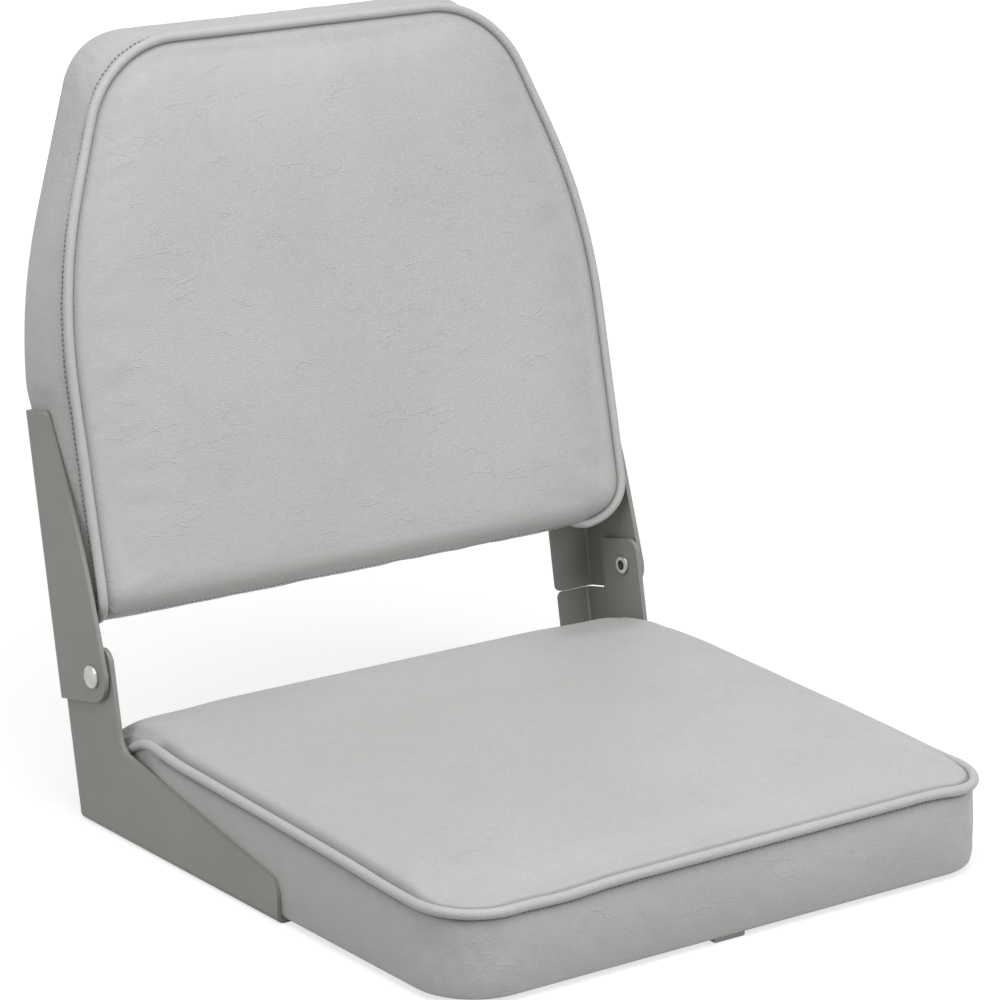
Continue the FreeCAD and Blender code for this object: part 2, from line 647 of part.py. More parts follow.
def back_bracket():
    """Right-hand upper bracket: tapered side plate with a rear flange behind the cushion."""
    front = PIVOT_FORWARD + HINGE_END_RADIUS
    profile = [
        reclined(0.0, 0.0) + (0.0,),
        reclined(BACK_BRACKET_HEIGHT, 0.0) + (0.0,),
        reclined(BACK_BRACKET_HEIGHT, BACK_BRACKET_TOP) + (BACK_BRACKET_TOP_RADIUS,),
        reclined(BACK_BRACKET_WAIST_UP, BACK_BRACKET_WAIST) + (BACK_BRACKET_WAIST_RADIUS,),
        reclined(0.0, front) + (HINGE_END_RADIUS,),
    ]
    block = side_prism(profile, BACK_OUTER_X - BACK_FLANGE, BACK_OUTER_X)
    rear_edge = on_back(BACK_OUTER_X, BACK_BRACKET_HEIGHT / 2, 0.0)
    block = block.makeFillet(BEND_RADIUS + SHEET, edges_at(block, rear_edge, 1.0))
    low = -BACK_BRACKET_HEIGHT
    high = 2 * BACK_BRACKET_HEIGHT
    hollow_profile = [
        reclined(low, SHEET) + (0.0,),
        reclined(high, SHEET) + (0.0,),
        reclined(high, high) + (0.0,),
        reclined(low, high) + (0.0,),
    ]
    hollow = side_prism(hollow_profile, BACK_INNER_X - 2 * BACK_FLANGE, BACK_INNER_X)
    inside_edge = on_back(BACK_INNER_X, BACK_BRACKET_HEIGHT / 2, SHEET)
    hollow = hollow.makeFillet(BEND_RADIUS, edges_at(hollow, inside_edge, 1.0))
    bracket = block.cut(hollow)
    for up in (0.0, BACK_BRACKET_HEIGHT):
        corner = on_back(BACK_OUTER_X - BACK_FLANGE, up, SHEET / 2)
        bracket = bracket.makeFillet(FLANGE_CORNER, edges_at(bracket, corner, SHEET / 2))
    pivot = FreeCAD.Vector(BACK_INNER_X - SHEET, PIVOT_Y, PIVOT_Z)
    bracket = bracket.cut(Part.makeCylinder(RIVET_RADIUS + RUNNING_GAP, 3 * SHEET, pivot, RIGHTWARD))
    for place in back_screw_places():
        hole_start = place - OUT_OF_THE_BACK * SHEET
        bracket = bracket.cut(Part.makeCylinder(SCREW_RADIUS, 3 * SHEET, hole_start, OUT_OF_THE_BACK))
    return bracket


def build_back_brackets(nodes):
    """Upper brackets and the pan-head screws that hold them to the back board."""
    bracket = back_bracket()
    screws = []
    for place in back_screw_places():
        length = SHEET + VINYL + BACK_BOARD
        shank = Part.makeCylinder(SCREW_RADIUS, length, place, OUT_OF_THE_BACK)
        top = place - OUT_OF_THE_BACK * PAN_HEAD
        head = Part.makeCylinder(SCREW_HEAD_RADIUS, PAN_HEAD, top, OUT_OF_THE_BACK)
        rim = [edge for edge in head.Edges if edge.CenterOfMass.distanceToPoint(top) < TOUCH]
        head = head.makeFillet(PAN_HEAD * RIM_SHARE, rim)
        screws.append(shank.fuse(head).removeSplitter())
    nodes["back_bracket_right"] = bracket
    nodes["back_bracket_left"] = mirrored(bracket)
    nodes["back_bracket_screws"] = Part.makeCompound(screws)


# Back cushion

BACK_MIDDLE = (BACK_BOTTOM + BACK_TOP) / 2
NECK_FORWARD = BACK_NECK_LOW - BACK_NECK_SLOPE * (BACK_MIDDLE - BACK_BOTTOM)


def back_outline(side, shoulder, top, bottom, bottom_radius, height, slope):
    """Corners of the back's outline, drawn in by the given amounts, on a plane across its thickness."""
    lean = math.radians(SHOULDER_LEAN)
    half = BACK_WIDE - side
    top_up = BACK_TOP - top
    line = BACK_WIDE * math.cos(lean) + SHOULDER_START * math.sin(lean) - shoulder
    knee_up = (line - half * math.cos(lean)) / math.sin(lean)
    crest_x = (line - top_up * math.sin(lean)) / math.cos(lean)
    plan = [
        (half, BACK_BOTTOM + bottom, bottom_radius),
        (half, knee_up, SHOULDER_RADIUS - shoulder),
        (crest_x, top_up, BACK_TOP_RADIUS - shoulder),
    ]
    right = []
    left = []
    for x, up, radius in plan:
        forward = height - slope * (up - BACK_MIDDLE)
        right.append((on_back(x, up, forward), radius))
        left.append((on_back(-x, up, forward), radius))
    return right + left[::-1]


def back_neck_corners(skin):
    """Corners of the seam between the front panel and the side band, inset by a skin."""
    side = BACK_SWELL + BACK_NECK_INSET + skin
    shoulder = BACK_NECK_SHOULDER + skin
    top = BACK_NECK_DROP + skin
    bottom = BACK_NECK_LIFT + skin
    radius = BACK_BOTTOM_RADIUS - skin
    return back_outline(side, shoulder, top, bottom, radius, NECK_FORWARD, BACK_NECK_SLOPE)


def back_rear(side, inset, forward):
    """Corners of the back's outline at its rear face."""
    edge = BACK_REAR_INSET + inset
    return back_outline(edge + side, edge, edge, BACK_REAR_LIFT + inset, BACK_BOTTOM_RADIUS, forward, 0.0)


def back_pinch(skin):
    """Space outside the inner faces of the back brackets, up to just above them, where no cushion fits."""
    half = BACK_HALF - skin
    top = BACK_BRACKET_HEIGHT + BACK_SWELL_GAP
    far = REACH
    plan = [(half, -far), (half, top), (half + far, top + far), (half + far, -far)]
    corners = [(on_back(x, up, -far), 0.0) for x, up in plan]
    right = prism(corners, OUT_OF_THE_BACK * (2 * far))
    return right.fuse(mirrored(right))


def back_walls(skin, rear):
    """Rear part of the back cushion with bulging sides, up to the seam of the front panel."""
    slope = BACK_NECK_SLOPE / 2
    middle = back_outline(skin, skin, skin, skin, BACK_BOTTOM_RADIUS, NECK_FORWARD / 2, slope)
    low = rounded_wire(back_rear(0.0, skin, rear))
    wires = [low, rounded_wire(middle), rounded_wire(back_neck_corners(skin))]
    return Part.makeLoft(wires, True, False).cut(back_pinch(skin))


def back_flat(side, inset, start, thickness):
    """Flat piece with the back's outline, from one distance off the rear faces."""
    return prism(back_rear(side, inset, start), OUT_OF_THE_BACK * thickness)


def back_seam_profile():
    """Side view of all that lies in front of and below the seam of the back's side band."""
    far = REACH
    low_hem = BACK_BOTTOM + BACK_HEM

    def seam(up):
        return NECK_FORWARD - BACK_NECK_SLOPE * (up - BACK_MIDDLE)

    turn = BACK_BOTTOM + BACK_BOTTOM_RADIUS
    return [
        reclined(far, seam(far)) + (0.0,),
        reclined(turn, seam(turn)) + (BACK_BOTTOM_RADIUS / 4,),
        reclined(low_hem, seam(turn) - BACK_BOTTOM_RADIUS) + (BACK_BOTTOM_RADIUS / 4,),
        reclined(low_hem, -far) + (0.0,),
        reclined(-far, -far) + (0.0,),
        reclined(-far, far) + (0.0,),
        reclined(far, far) + (0.0,),
    ]


def back_welt():
    """Piping up one side of the back, over the top and down the other, turned in at the lower corners."""
    outline = back_neck_corners(-WELT_RADIUS - BACK_WELT_GAP)
    low = outline[0][0]
    right_end = FreeCAD.Vector(BACK_WELT_END, low.y, low.z)
    left_end = FreeCAD.Vector(-BACK_WELT_END, low.y, low.z)
    corners = [(right_end, 0.0)] + outline + [(left_end, 0.0)]
    return swept_round(rounded_wire(corners, closed=False), WELT_RADIUS)


def build_back(nodes):
    """Board, foam, covers, welt, tee nuts and staples of the backrest."""
    rear_face = SHEET + VINYL
    board_front = rear_face + BACK_BOARD
    nuts = []
    board = back_flat(BACK_SWELL, VINYL + BOARD_GAP, rear_face, BACK_BOARD)
    for place in back_screw_places():
        foot = place + OUT_OF_THE_BACK * rear_face
        nuts.append(tee_nut(foot, OUT_OF_THE_BACK, BACK_BOARD, SCREW_RADIUS))
        board = board.cut(Part.makeCylinder(TEE_BARREL, 2 * BACK_BOARD, foot, OUT_OF_THE_BACK))

    walls = back_walls(VINYL, rear_face)
    seam_normal = toward(on_back(0, 0, 0), on_back(0, BACK_NECK_SLOPE, 1.0))
    dome = crown(rounded_wire(back_neck_corners(VINYL)), seam_normal, BACK_CROWN - VINYL)
    band = back_walls(0.0, SHEET).cut(walls)
    for place in back_screw_places():
        band = band.cut(Part.makeCylinder(SCREW_RADIUS, rear_face, place, OUT_OF_THE_BACK))
    front_panel = crown(rounded_wire(back_neck_corners(0.0)), seam_normal, BACK_CROWN).cut(dome)
    front_region = side_prism(back_seam_profile(), -REACH, REACH)
    rear_region = back_flat(0.0, VINYL, 0.0, rear_face)
    low_hem = BACK_BOTTOM + BACK_HEM
    base_profile = [
        reclined(-REACH, -REACH) + (0.0,),
        reclined(REACH, -REACH) + (0.0,),
        reclined(REACH, board_front) + (0.0,),
        reclined(-REACH, board_front) + (0.0,),
    ]
    foam = walls.cut(side_prism(base_profile, -REACH, REACH)).fuse(dome)
    for place in back_screw_places():
        pocket = place + OUT_OF_THE_BACK * board_front
        foam = foam.cut(Part.makeCylinder(TEE_FLANGE, TEE_FLANGE_THICKNESS, pocket, OUT_OF_THE_BACK))
    rest = band.cut(front_region)

    staples = []
    across = FreeCAD.Vector(1, 0, 0)
    clear = BACK_OUTER_X - BACK_FLANGE - STAPLE_CROWN
    for x in spaced(-clear, clear):
        place = on_back(x, low_hem - STAPLE_CROWN, SHEET)
        staples.append(staple(place, across, OUT_OF_THE_BACK))

    nodes["back_board"] = board
    nodes["back_foam"] = foam
    nodes["back_front_cover"] = front_panel.fuse(band.common(front_region))
    nodes["back_boxing"] = rest.cut(rear_region)
    nodes["back_rear_panel"] = rest.common(rear_region)
    nodes["back_welt"] = back_welt()
    nodes["back_staples"] = Part.makeCompound(staples)
    nodes["back_tee_nuts"] = Part.makeCompound(nuts)


def main():
    """Build every piece and write it to its own file."""
    nodes = {}
    build_seat(nodes)
    build_seat_brackets(nodes)
    build_pivot(nodes)
    build_back_brackets(nodes)
    build_back(nodes)
    os.makedirs("parts", exist_ok=True)
    for name, shape in nodes.items():
        sound = all(solid.isValid() for solid in shape.Solids)
        print(f"{name}: {len(shape.Solids)} solids, {shape.Volume:.0f} mm3, valid {sound}")
        shape.exportStep(f"parts/{name}.step")


main()
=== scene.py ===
import logging
import math
from dataclasses import dataclass, field
from enum import Enum
from typing import Callable, Sequence

import bmesh
import bpy
import numpy as np
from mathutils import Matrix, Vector
from mathutils.bvhtree import BVHTree


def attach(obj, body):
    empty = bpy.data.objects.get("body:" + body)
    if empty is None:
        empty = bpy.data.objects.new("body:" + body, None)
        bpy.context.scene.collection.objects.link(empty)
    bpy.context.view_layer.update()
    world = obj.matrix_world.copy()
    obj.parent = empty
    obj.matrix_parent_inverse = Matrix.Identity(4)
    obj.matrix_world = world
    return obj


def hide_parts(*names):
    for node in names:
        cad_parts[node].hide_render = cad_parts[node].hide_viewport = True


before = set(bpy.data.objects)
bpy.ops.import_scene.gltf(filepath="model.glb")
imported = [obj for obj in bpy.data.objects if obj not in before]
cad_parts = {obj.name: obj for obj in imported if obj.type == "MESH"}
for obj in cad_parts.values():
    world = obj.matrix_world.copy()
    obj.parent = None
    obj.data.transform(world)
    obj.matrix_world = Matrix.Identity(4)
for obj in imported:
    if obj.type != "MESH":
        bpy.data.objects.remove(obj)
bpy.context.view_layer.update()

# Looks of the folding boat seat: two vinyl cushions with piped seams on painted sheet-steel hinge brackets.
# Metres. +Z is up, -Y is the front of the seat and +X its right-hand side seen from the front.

LOG = logging.getLogger("boat_seat")
MM = 0.001
SEED = 7


class Body(Enum):
    """The two bodies that the hinge joins."""

    SEAT = "seat"
    BACK = "back"


class Slot(Enum):
    """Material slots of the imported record."""

    PLYWOOD = "plywood"
    FOAM = "foam"
    VINYL = "vinyl"
    PAINT = "bracket_paint"
    STEEL = "plated_steel"
    NYLON = "nylon"


class Side(Enum):
    """Left and right, seen from the front, as the sign of X."""

    LEFT = -1
    RIGHT = 1


# Plain geometry

def unit(vector: np.ndarray) -> np.ndarray:
    """Direction of a vector."""
    return vector / max(np.linalg.norm(vector), 1e-12)


def smooth_step(low: float, high: float, value: np.ndarray) -> np.ndarray:
    """Rise from 0 to 1 between two values, level at both ends."""
    share = np.clip((np.asarray(value, float) - low) / (high - low), 0.0, 1.0)
    return share * share * (3.0 - 2.0 * share)


def eased_shares(count: int, edge: float) -> np.ndarray:
    """Shares of a side from 0 to 1, closer together near both ends.

    Args:
        count: Number of steps.
        edge: How much closer the end steps are, from 0 for even steps to almost 1.

    Returns:
        Count + 1 rising shares, the same from either end.
    """
    even = np.linspace(0.0, 1.0, count + 1)
    return even - edge * np.sin(2.0 * math.pi * even) / (2.0 * math.pi)


def along_line(line: np.ndarray, shares: np.ndarray) -> np.ndarray:
    """Places at shares of the length of an open line of points."""
    steps = np.linalg.norm(np.diff(line, axis=0), axis=1)
    reach = np.concatenate([[0.0], np.cumsum(steps)])
    return np.column_stack([np.interp(shares * reach[-1], reach, line[:, k]) for k in range(line.shape[1])])


def evenly_along(line: np.ndarray, pitch: float) -> np.ndarray:
    """Places about a pitch apart along an open line of points."""
    length = np.linalg.norm(np.diff(line, axis=0), axis=1).sum()
    count = max(2, round(length / pitch))
    return along_line(line, np.linspace(0.0, 1.0, count + 1))


def distance_to_line(places: np.ndarray, line: np.ndarray) -> np.ndarray:
    """Least distance of each place in a plane from an open line of points."""
    start = line[:-1][None]
    run = line[1:][None] - start
    offset = places[:, None] - start
    share = np.clip((offset * run).sum(2) / np.maximum((run * run).sum(2), 1e-15), 0.0, 1.0)
    return np.linalg.norm(offset - share[..., None] * run, axis=2).min(1)


@dataclass(frozen=True)
class Outline:
    """Closed outline of straight runs and tangent arcs, cut into four sides at its main corners.

    Attributes:
        corners: Each corner's two coordinates and its radius, counter-clockwise.
        main: Which four corners part the near, right, far and left sides.
    """

    corners: tuple[tuple[float, float, float], ...]
    main: tuple[int, int, int, int]

    def dense(self) -> tuple[np.ndarray, list[int]]:
        """Close line of points round the outline, and where the middle of each corner is in it."""
        points = np.array([corner[:2] for corner in self.corners])
        line: list[np.ndarray] = []
        middles: list[int] = []
        for i, (_, _, radius) in enumerate(self.corners):
            here = points[i]
            before = here - points[i - 1]
            after = points[(i + 1) % len(points)] - here
            into, away = unit(before), unit(after)
            turn = math.acos(float(np.clip(into @ away, -1.0, 1.0)))
            room = 0.48 * min(np.linalg.norm(before), np.linalg.norm(after))
            reach = min(radius * math.tan(turn / 2), room)
            centre = here + unit(away - into) * (reach / math.tan(turn / 2) / math.cos(turn / 2))
            first, last = here - into * reach - centre, here + away * reach - centre
            steps = 2 * max(3, math.ceil(math.degrees(turn) / 6))
            middles.append(len(line) + steps // 2)
            for share in np.linspace(0.0, 1.0, steps + 1):
                swing = math.sin((1 - share) * turn) * first + math.sin(share * turn) * last
                line.append(centre + swing / math.sin(turn))
        return np.array(line), middles

    def ring(self, across: np.ndarray, along: np.ndarray) -> np.ndarray:
        """Ring of places, side after side.

        Args:
            across: Shares of the near and far sides.
            along: Shares of the right and left sides.

        Returns:
            One row for each place, without repeating the corners.
        """
        line, middles = self.dense()
        cuts = [middles[i] for i in self.main]
        line = np.roll(line, -cuts[0], axis=0)
        cuts = [(cut - cuts[0]) % len(line) for cut in cuts] + [len(line)]
        line = np.vstack([line, line[:1]])
        sides = []
        for k, shares in enumerate((across, along, across, along)):
            sides.append(along_line(line[cuts[k]:cuts[k + 1] + 1], shares)[:-1])
        return np.vstack(sides)


def ring_outward(ring: np.ndarray) -> np.ndarray:
    """Outward directions in the plane of a counter-clockwise ring."""
    tangent = np.roll(ring, -1, axis=0) - np.roll(ring, 1, axis=0)
    outward = np.column_stack([tangent[:, 1], -tangent[:, 0]])
    return outward / np.maximum(np.linalg.norm(outward, axis=1), 1e-12)[:, None]


class PaddedMesh:
    """Closed mesh of a cushion in its own directions: across, along and outward from its face."""

    def __init__(self, across: np.ndarray, along: np.ndarray) -> None:
        """Start an empty mesh whose face is a grid on the given shares of its sides."""
        self.across = across
        self.along = along
        self.columns = len(across) - 1
        self.rows = len(along) - 1
        self.count = 2 * (self.columns + self.rows)
        self.places = np.zeros((0, 3))
        self.faces: list[tuple[int, ...]] = []

    def rim(self, first: int) -> np.ndarray:
        """Vertex numbers round a grid that starts at a vertex, in ring order."""
        n, m = self.columns, self.rows
        near = [(i, 0) for i in range(n)]
        right = [(n, j) for j in range(m)]
        far = [(n - i, m) for i in range(n)]
        left = [(0, m - j) for j in range(m)]
        return np.array([first + i * (m + 1) + j for i, j in near + right + far + left])

    def grid_on(self, ring: np.ndarray) -> np.ndarray:
        """Grid of places spanned between the four sides of a ring, row by row."""
        n, m = self.columns, self.rows
        closed = np.vstack([ring, ring[:1]])
        near, right = closed[:n + 1], closed[n:n + m + 1]
        far, left = closed[n + m:2 * n + m + 1][::-1], closed[2 * n + m:][::-1]
        u, v = self.across[:, None, None], self.along[None, :, None]
        spanned = (1 - v) * near[:, None] + v * far[:, None] + (1 - u) * left[None] + u * right[None]
        corners = (1 - u) * (1 - v) * near[0] + u * (1 - v) * near[-1] + (1 - u) * v * far[0] + u * v * far[-1]
        return (spanned - corners).reshape(-1, ring.shape[1])

    def add_grid(self, places: np.ndarray, outward: bool) -> np.ndarray:
        """Add a grid of faces and give its rim's vertex numbers."""
        first = len(self.places)
        self.places = np.vstack([self.places, places])
        m = self.rows + 1
        for i in range(self.columns):
            for j in range(self.rows):
                a = first + i * m + j
                quad = (a, a + m, a + m + 1, a + 1)
                self.faces.append(quad if outward else quad[::-1])
        return self.rim(first)

    def add_ring(self, places: np.ndarray, above: np.ndarray) -> np.ndarray:
        """Add a ring of vertices, with faces up to the ring above it, and give its vertex numbers."""
        first = len(self.places)
        self.places = np.vstack([self.places, places])
        numbers = np.arange(first, first + len(places))
        self.join(above, numbers)
        return numbers

    def join(self, above: np.ndarray, below: np.ndarray) -> None:
        """Add the faces between two rings of vertices."""
        for i in range(self.count):
            j = (i + 1) % self.count
            self.faces.append((above[i], below[i], below[j], above[j]))

    def close(self, ring: np.ndarray) -> None:
        """Close the last ring with flat rings of half as many vertices each, down to one small face."""
        middle = self.places[ring].mean(0)
        while len(ring) > 20 and len(ring) % 2 == 0:
            first = len(self.places)
            inner = self.places[ring[::2]]
            self.places = np.vstack([self.places, inner + 0.3 * (middle - inner)])
            half = np.arange(first, first + len(ring) // 2)
            for k in range(len(half)):
                after = (k + 1) % len(half)
                self.faces.append((ring[2 * k], half[k], half[after], ring[2 * after], ring[2 * k + 1]))
            ring = half
        self.faces.append(tuple(ring[::-1]))


def linked(mesh: bpy.types.Mesh, name: str) -> bpy.types.Object:
    """New object of a mesh, put in the scene at the origin."""
    piece = bpy.data.objects.new(name, mesh)
    bpy.context.scene.collection.objects.link(piece)
    return piece


def mesh_of(name: str, places: np.ndarray, faces: Sequence[Sequence[int]], smooth: bool = True) -> bpy.types.Mesh:
    """Mesh of given vertices and faces."""
    mesh = bpy.data.meshes.new(name)
    mesh.from_pydata([tuple(p) for p in places], [], [tuple(int(i) for i in f) for f in faces])
    mesh.polygons.foreach_set("use_smooth", [smooth] * len(mesh.polygons))
    mesh.update()
    return mesh


def places_of(mesh: bpy.types.Mesh) -> np.ndarray:
    """Vertex places of a mesh, one row each."""
    flat = np.zeros(3 * len(mesh.vertices), np.float32)
    mesh.vertices.foreach_get("co", flat)
    return flat.reshape(-1, 3).astype(float)


def normals_of(mesh: bpy.types.Mesh) -> np.ndarray:
    """Vertex normals of a mesh, one row each."""
    flat = np.zeros(3 * len(mesh.vertices), np.float32)
    mesh.vertex_normals.foreach_get("vector", flat)
    return flat.reshape(-1, 3).astype(float)


def set_places(mesh: bpy.types.Mesh, places: np.ndarray) -> None:
    """Move the vertices of a mesh."""
    mesh.vertices.foreach_set("co", places.astype(np.float32).ravel())
    mesh.update()


def set_mask(mesh: bpy.types.Mesh, name: str, values: np.ndarray) -> None:
    """Store a value for each vertex as an attribute that a finish can read."""
    attribute = mesh.attributes.new(name, "FLOAT", "POINT")
    attribute.data.foreach_set("value", values.astype(np.float32))


def swept_round(name: str, path: np.ndarray, radii: np.ndarray, segments: int) -> bpy.types.Mesh:
    """Closed round cord along a path.

    Args:
        name: Name of the mesh.
        path: Places along the middle of the cord.
        radii: Radius of the cord at each place.
        segments: Number of faces round the cord.

    Returns:
        The mesh, with domed ends.
    """
    tangents = np.gradient(path, axis=0)
    tangents /= np.linalg.norm(tangents, axis=1)[:, None]
    side = unit(np.cross(tangents[0], (0.0, 0.31, 0.95)))
    angles = np.linspace(0.0, 2.0 * math.pi, segments, endpoint=False)
    places: list[np.ndarray] = []
    for point, tangent, radius in zip(path, tangents, radii):
        side = unit(side - tangent * (side @ tangent))
        other = np.cross(tangent, side)
        places.extend(point + radius * (math.cos(a) * side + math.sin(a) * other) for a in angles)
    faces: list[tuple[int, ...]] = []
    for k in range(len(path) - 1):
        for i in range(segments):
            j = (i + 1) % segments
            faces.append((k * segments + i, k * segments + j, (k + 1) * segments + j, (k + 1) * segments + i))
    for k, tangent, outer in ((0, -tangents[0], True), (len(path) - 1, tangents[-1], False)):
        tip = len(places)
        places.append(path[k] + tangent * radii[k] * 0.6)
        for i in range(segments):
            a, b = k * segments + i, k * segments + (i + 1) % segments
            faces.append((tip, b, a) if outer else (tip, a, b))
    return mesh_of(name, np.array(places), faces)


def cushion_rays(surface: BVHTree, places: np.ndarray, inward: np.ndarray, lift: float) -> tuple[np.ndarray, np.ndarray]:
    """Places and normals where straight lines meet a cushion.

    Args:
        surface: Search tree of the cushion's surface.
        places: Places near the surface.
        inward: Direction in which each line runs into the cushion.
        lift: How far outside each place its line starts.

    Returns:
        The places that were met and the surface normals there.
    """
    met, normals = [], []
    for place, direction in zip(places, inward):
        start = Vector(place - direction * lift)
        hit, normal, _, _ = surface.ray_cast(start, Vector(direction), 3.0 * lift)
        if hit is not None:
            met.append(np.array(hit))
            normals.append(np.array(normal))
    return np.array(met), np.array(normals)


@dataclass(frozen=True)
class LeaningBack:
    """Side view of the leaning backrest, measured up it and forward of the rear faces of its flanges."""

    recline: float = math.radians(10.8)
    pivot_y: float = 0.170
    pivot_z: float = 0.094
    pivot_up: float = 0.016
    pivot_forward: float = 0.045

    @property
    def upward(self) -> np.ndarray:
        """Direction up the back."""
        return np.array([0.0, math.sin(self.recline), math.cos(self.recline)])

    @property
    def forward(self) -> np.ndarray:
        """Direction out of the back's front face."""
        return np.array([0.0, -math.cos(self.recline), math.sin(self.recline)])

    def places(self, local: np.ndarray) -> np.ndarray:
        """Places in the frame of rows of (across, up, forward)."""
        origin = np.array([0.0, self.pivot_y, self.pivot_z])
        rise = (local[:, 1] - self.pivot_up)[:, None] * self.upward
        ahead = (local[:, 2] - self.pivot_forward)[:, None] * self.forward
        return origin + local[:, :1] * np.array([1.0, 0.0, 0.0]) + rise + ahead


LEANING = LeaningBack()


# Shader nodes

class Board:
    """A node tree with short ways to add and join its nodes."""

    def __init__(self, tree: bpy.types.NodeTree) -> None:
        """Work on a tree."""
        self.tree = tree

    def add(self, kind: str, values: dict[str | int, object] | None = None, **settings: object) -> bpy.types.Node:
        """Add a node.

        Args:
            kind: Blender's name for the kind of node.
            values: Input values by socket name or number; an output socket is joined instead.
            **settings: The node's own settings.

        Returns:
            The new node.
        """
        node = self.tree.nodes.new(kind)
        for key, value in settings.items():
            setattr(node, key, value)
        for key, value in (values or {}).items():
            if isinstance(value, bpy.types.NodeSocket):
                self.tree.links.new(value, node.inputs[key])
            else:
                node.inputs[key].default_value = value
        return node

    def join(self, source: bpy.types.NodeSocket, target: bpy.types.NodeSocket) -> None:
        """Join two sockets."""
        self.tree.links.new(source, target)

    def math(self, operation: str, first: object, second: object = 0.0) -> bpy.types.NodeSocket:
        """Sum, product or other plain calculation of two values."""
        return self.add("ShaderNodeMath", {0: first, 1: second}, operation=operation).outputs[0]

    def span(self, value: bpy.types.NodeSocket, low: float, high: float, start: float, end: float) -> bpy.types.NodeSocket:
        """Carry a value's range over to another range."""
        values = {"Value": value, "From Min": low, "From Max": high, "To Min": start, "To Max": end}
        return self.add("ShaderNodeMapRange", values, interpolation_type="SMOOTHSTEP").outputs["Result"]

    def blend(self, share: object, first: object, second: object) -> bpy.types.NodeSocket:
        """Blend of two colours."""
        node = self.add("ShaderNodeMix", {0: share, 6: first, 7: second}, data_type="RGBA")
        return node.outputs[2]


def new_group(name: str, inputs: dict[str, tuple[str, object]], outputs: dict[str, str]) -> tuple[bpy.types.NodeTree, Board, bpy.types.Node, bpy.types.Node]:
    """Empty shader group with named inputs and outputs.

    Args:
        name: Name of the group.
        inputs: Socket kind and first value of each input, where the value may be None.
        outputs: Socket kind of each output.

    Returns:
        The tree, its board, and its input and output nodes.
    """
    tree = bpy.data.node_groups.new(name, "ShaderNodeTree")
    for label, (kind, value) in inputs.items():
        socket = tree.interface.new_socket(label, in_out="INPUT", socket_type=kind)
        if value is not None:
            socket.default_value = value
    for label, kind in outputs.items():
        tree.interface.new_socket(label, in_out="OUTPUT", socket_type=kind)
    board = Board(tree)
    return tree, board, board.add("NodeGroupInput"), board.add("NodeGroupOutput")


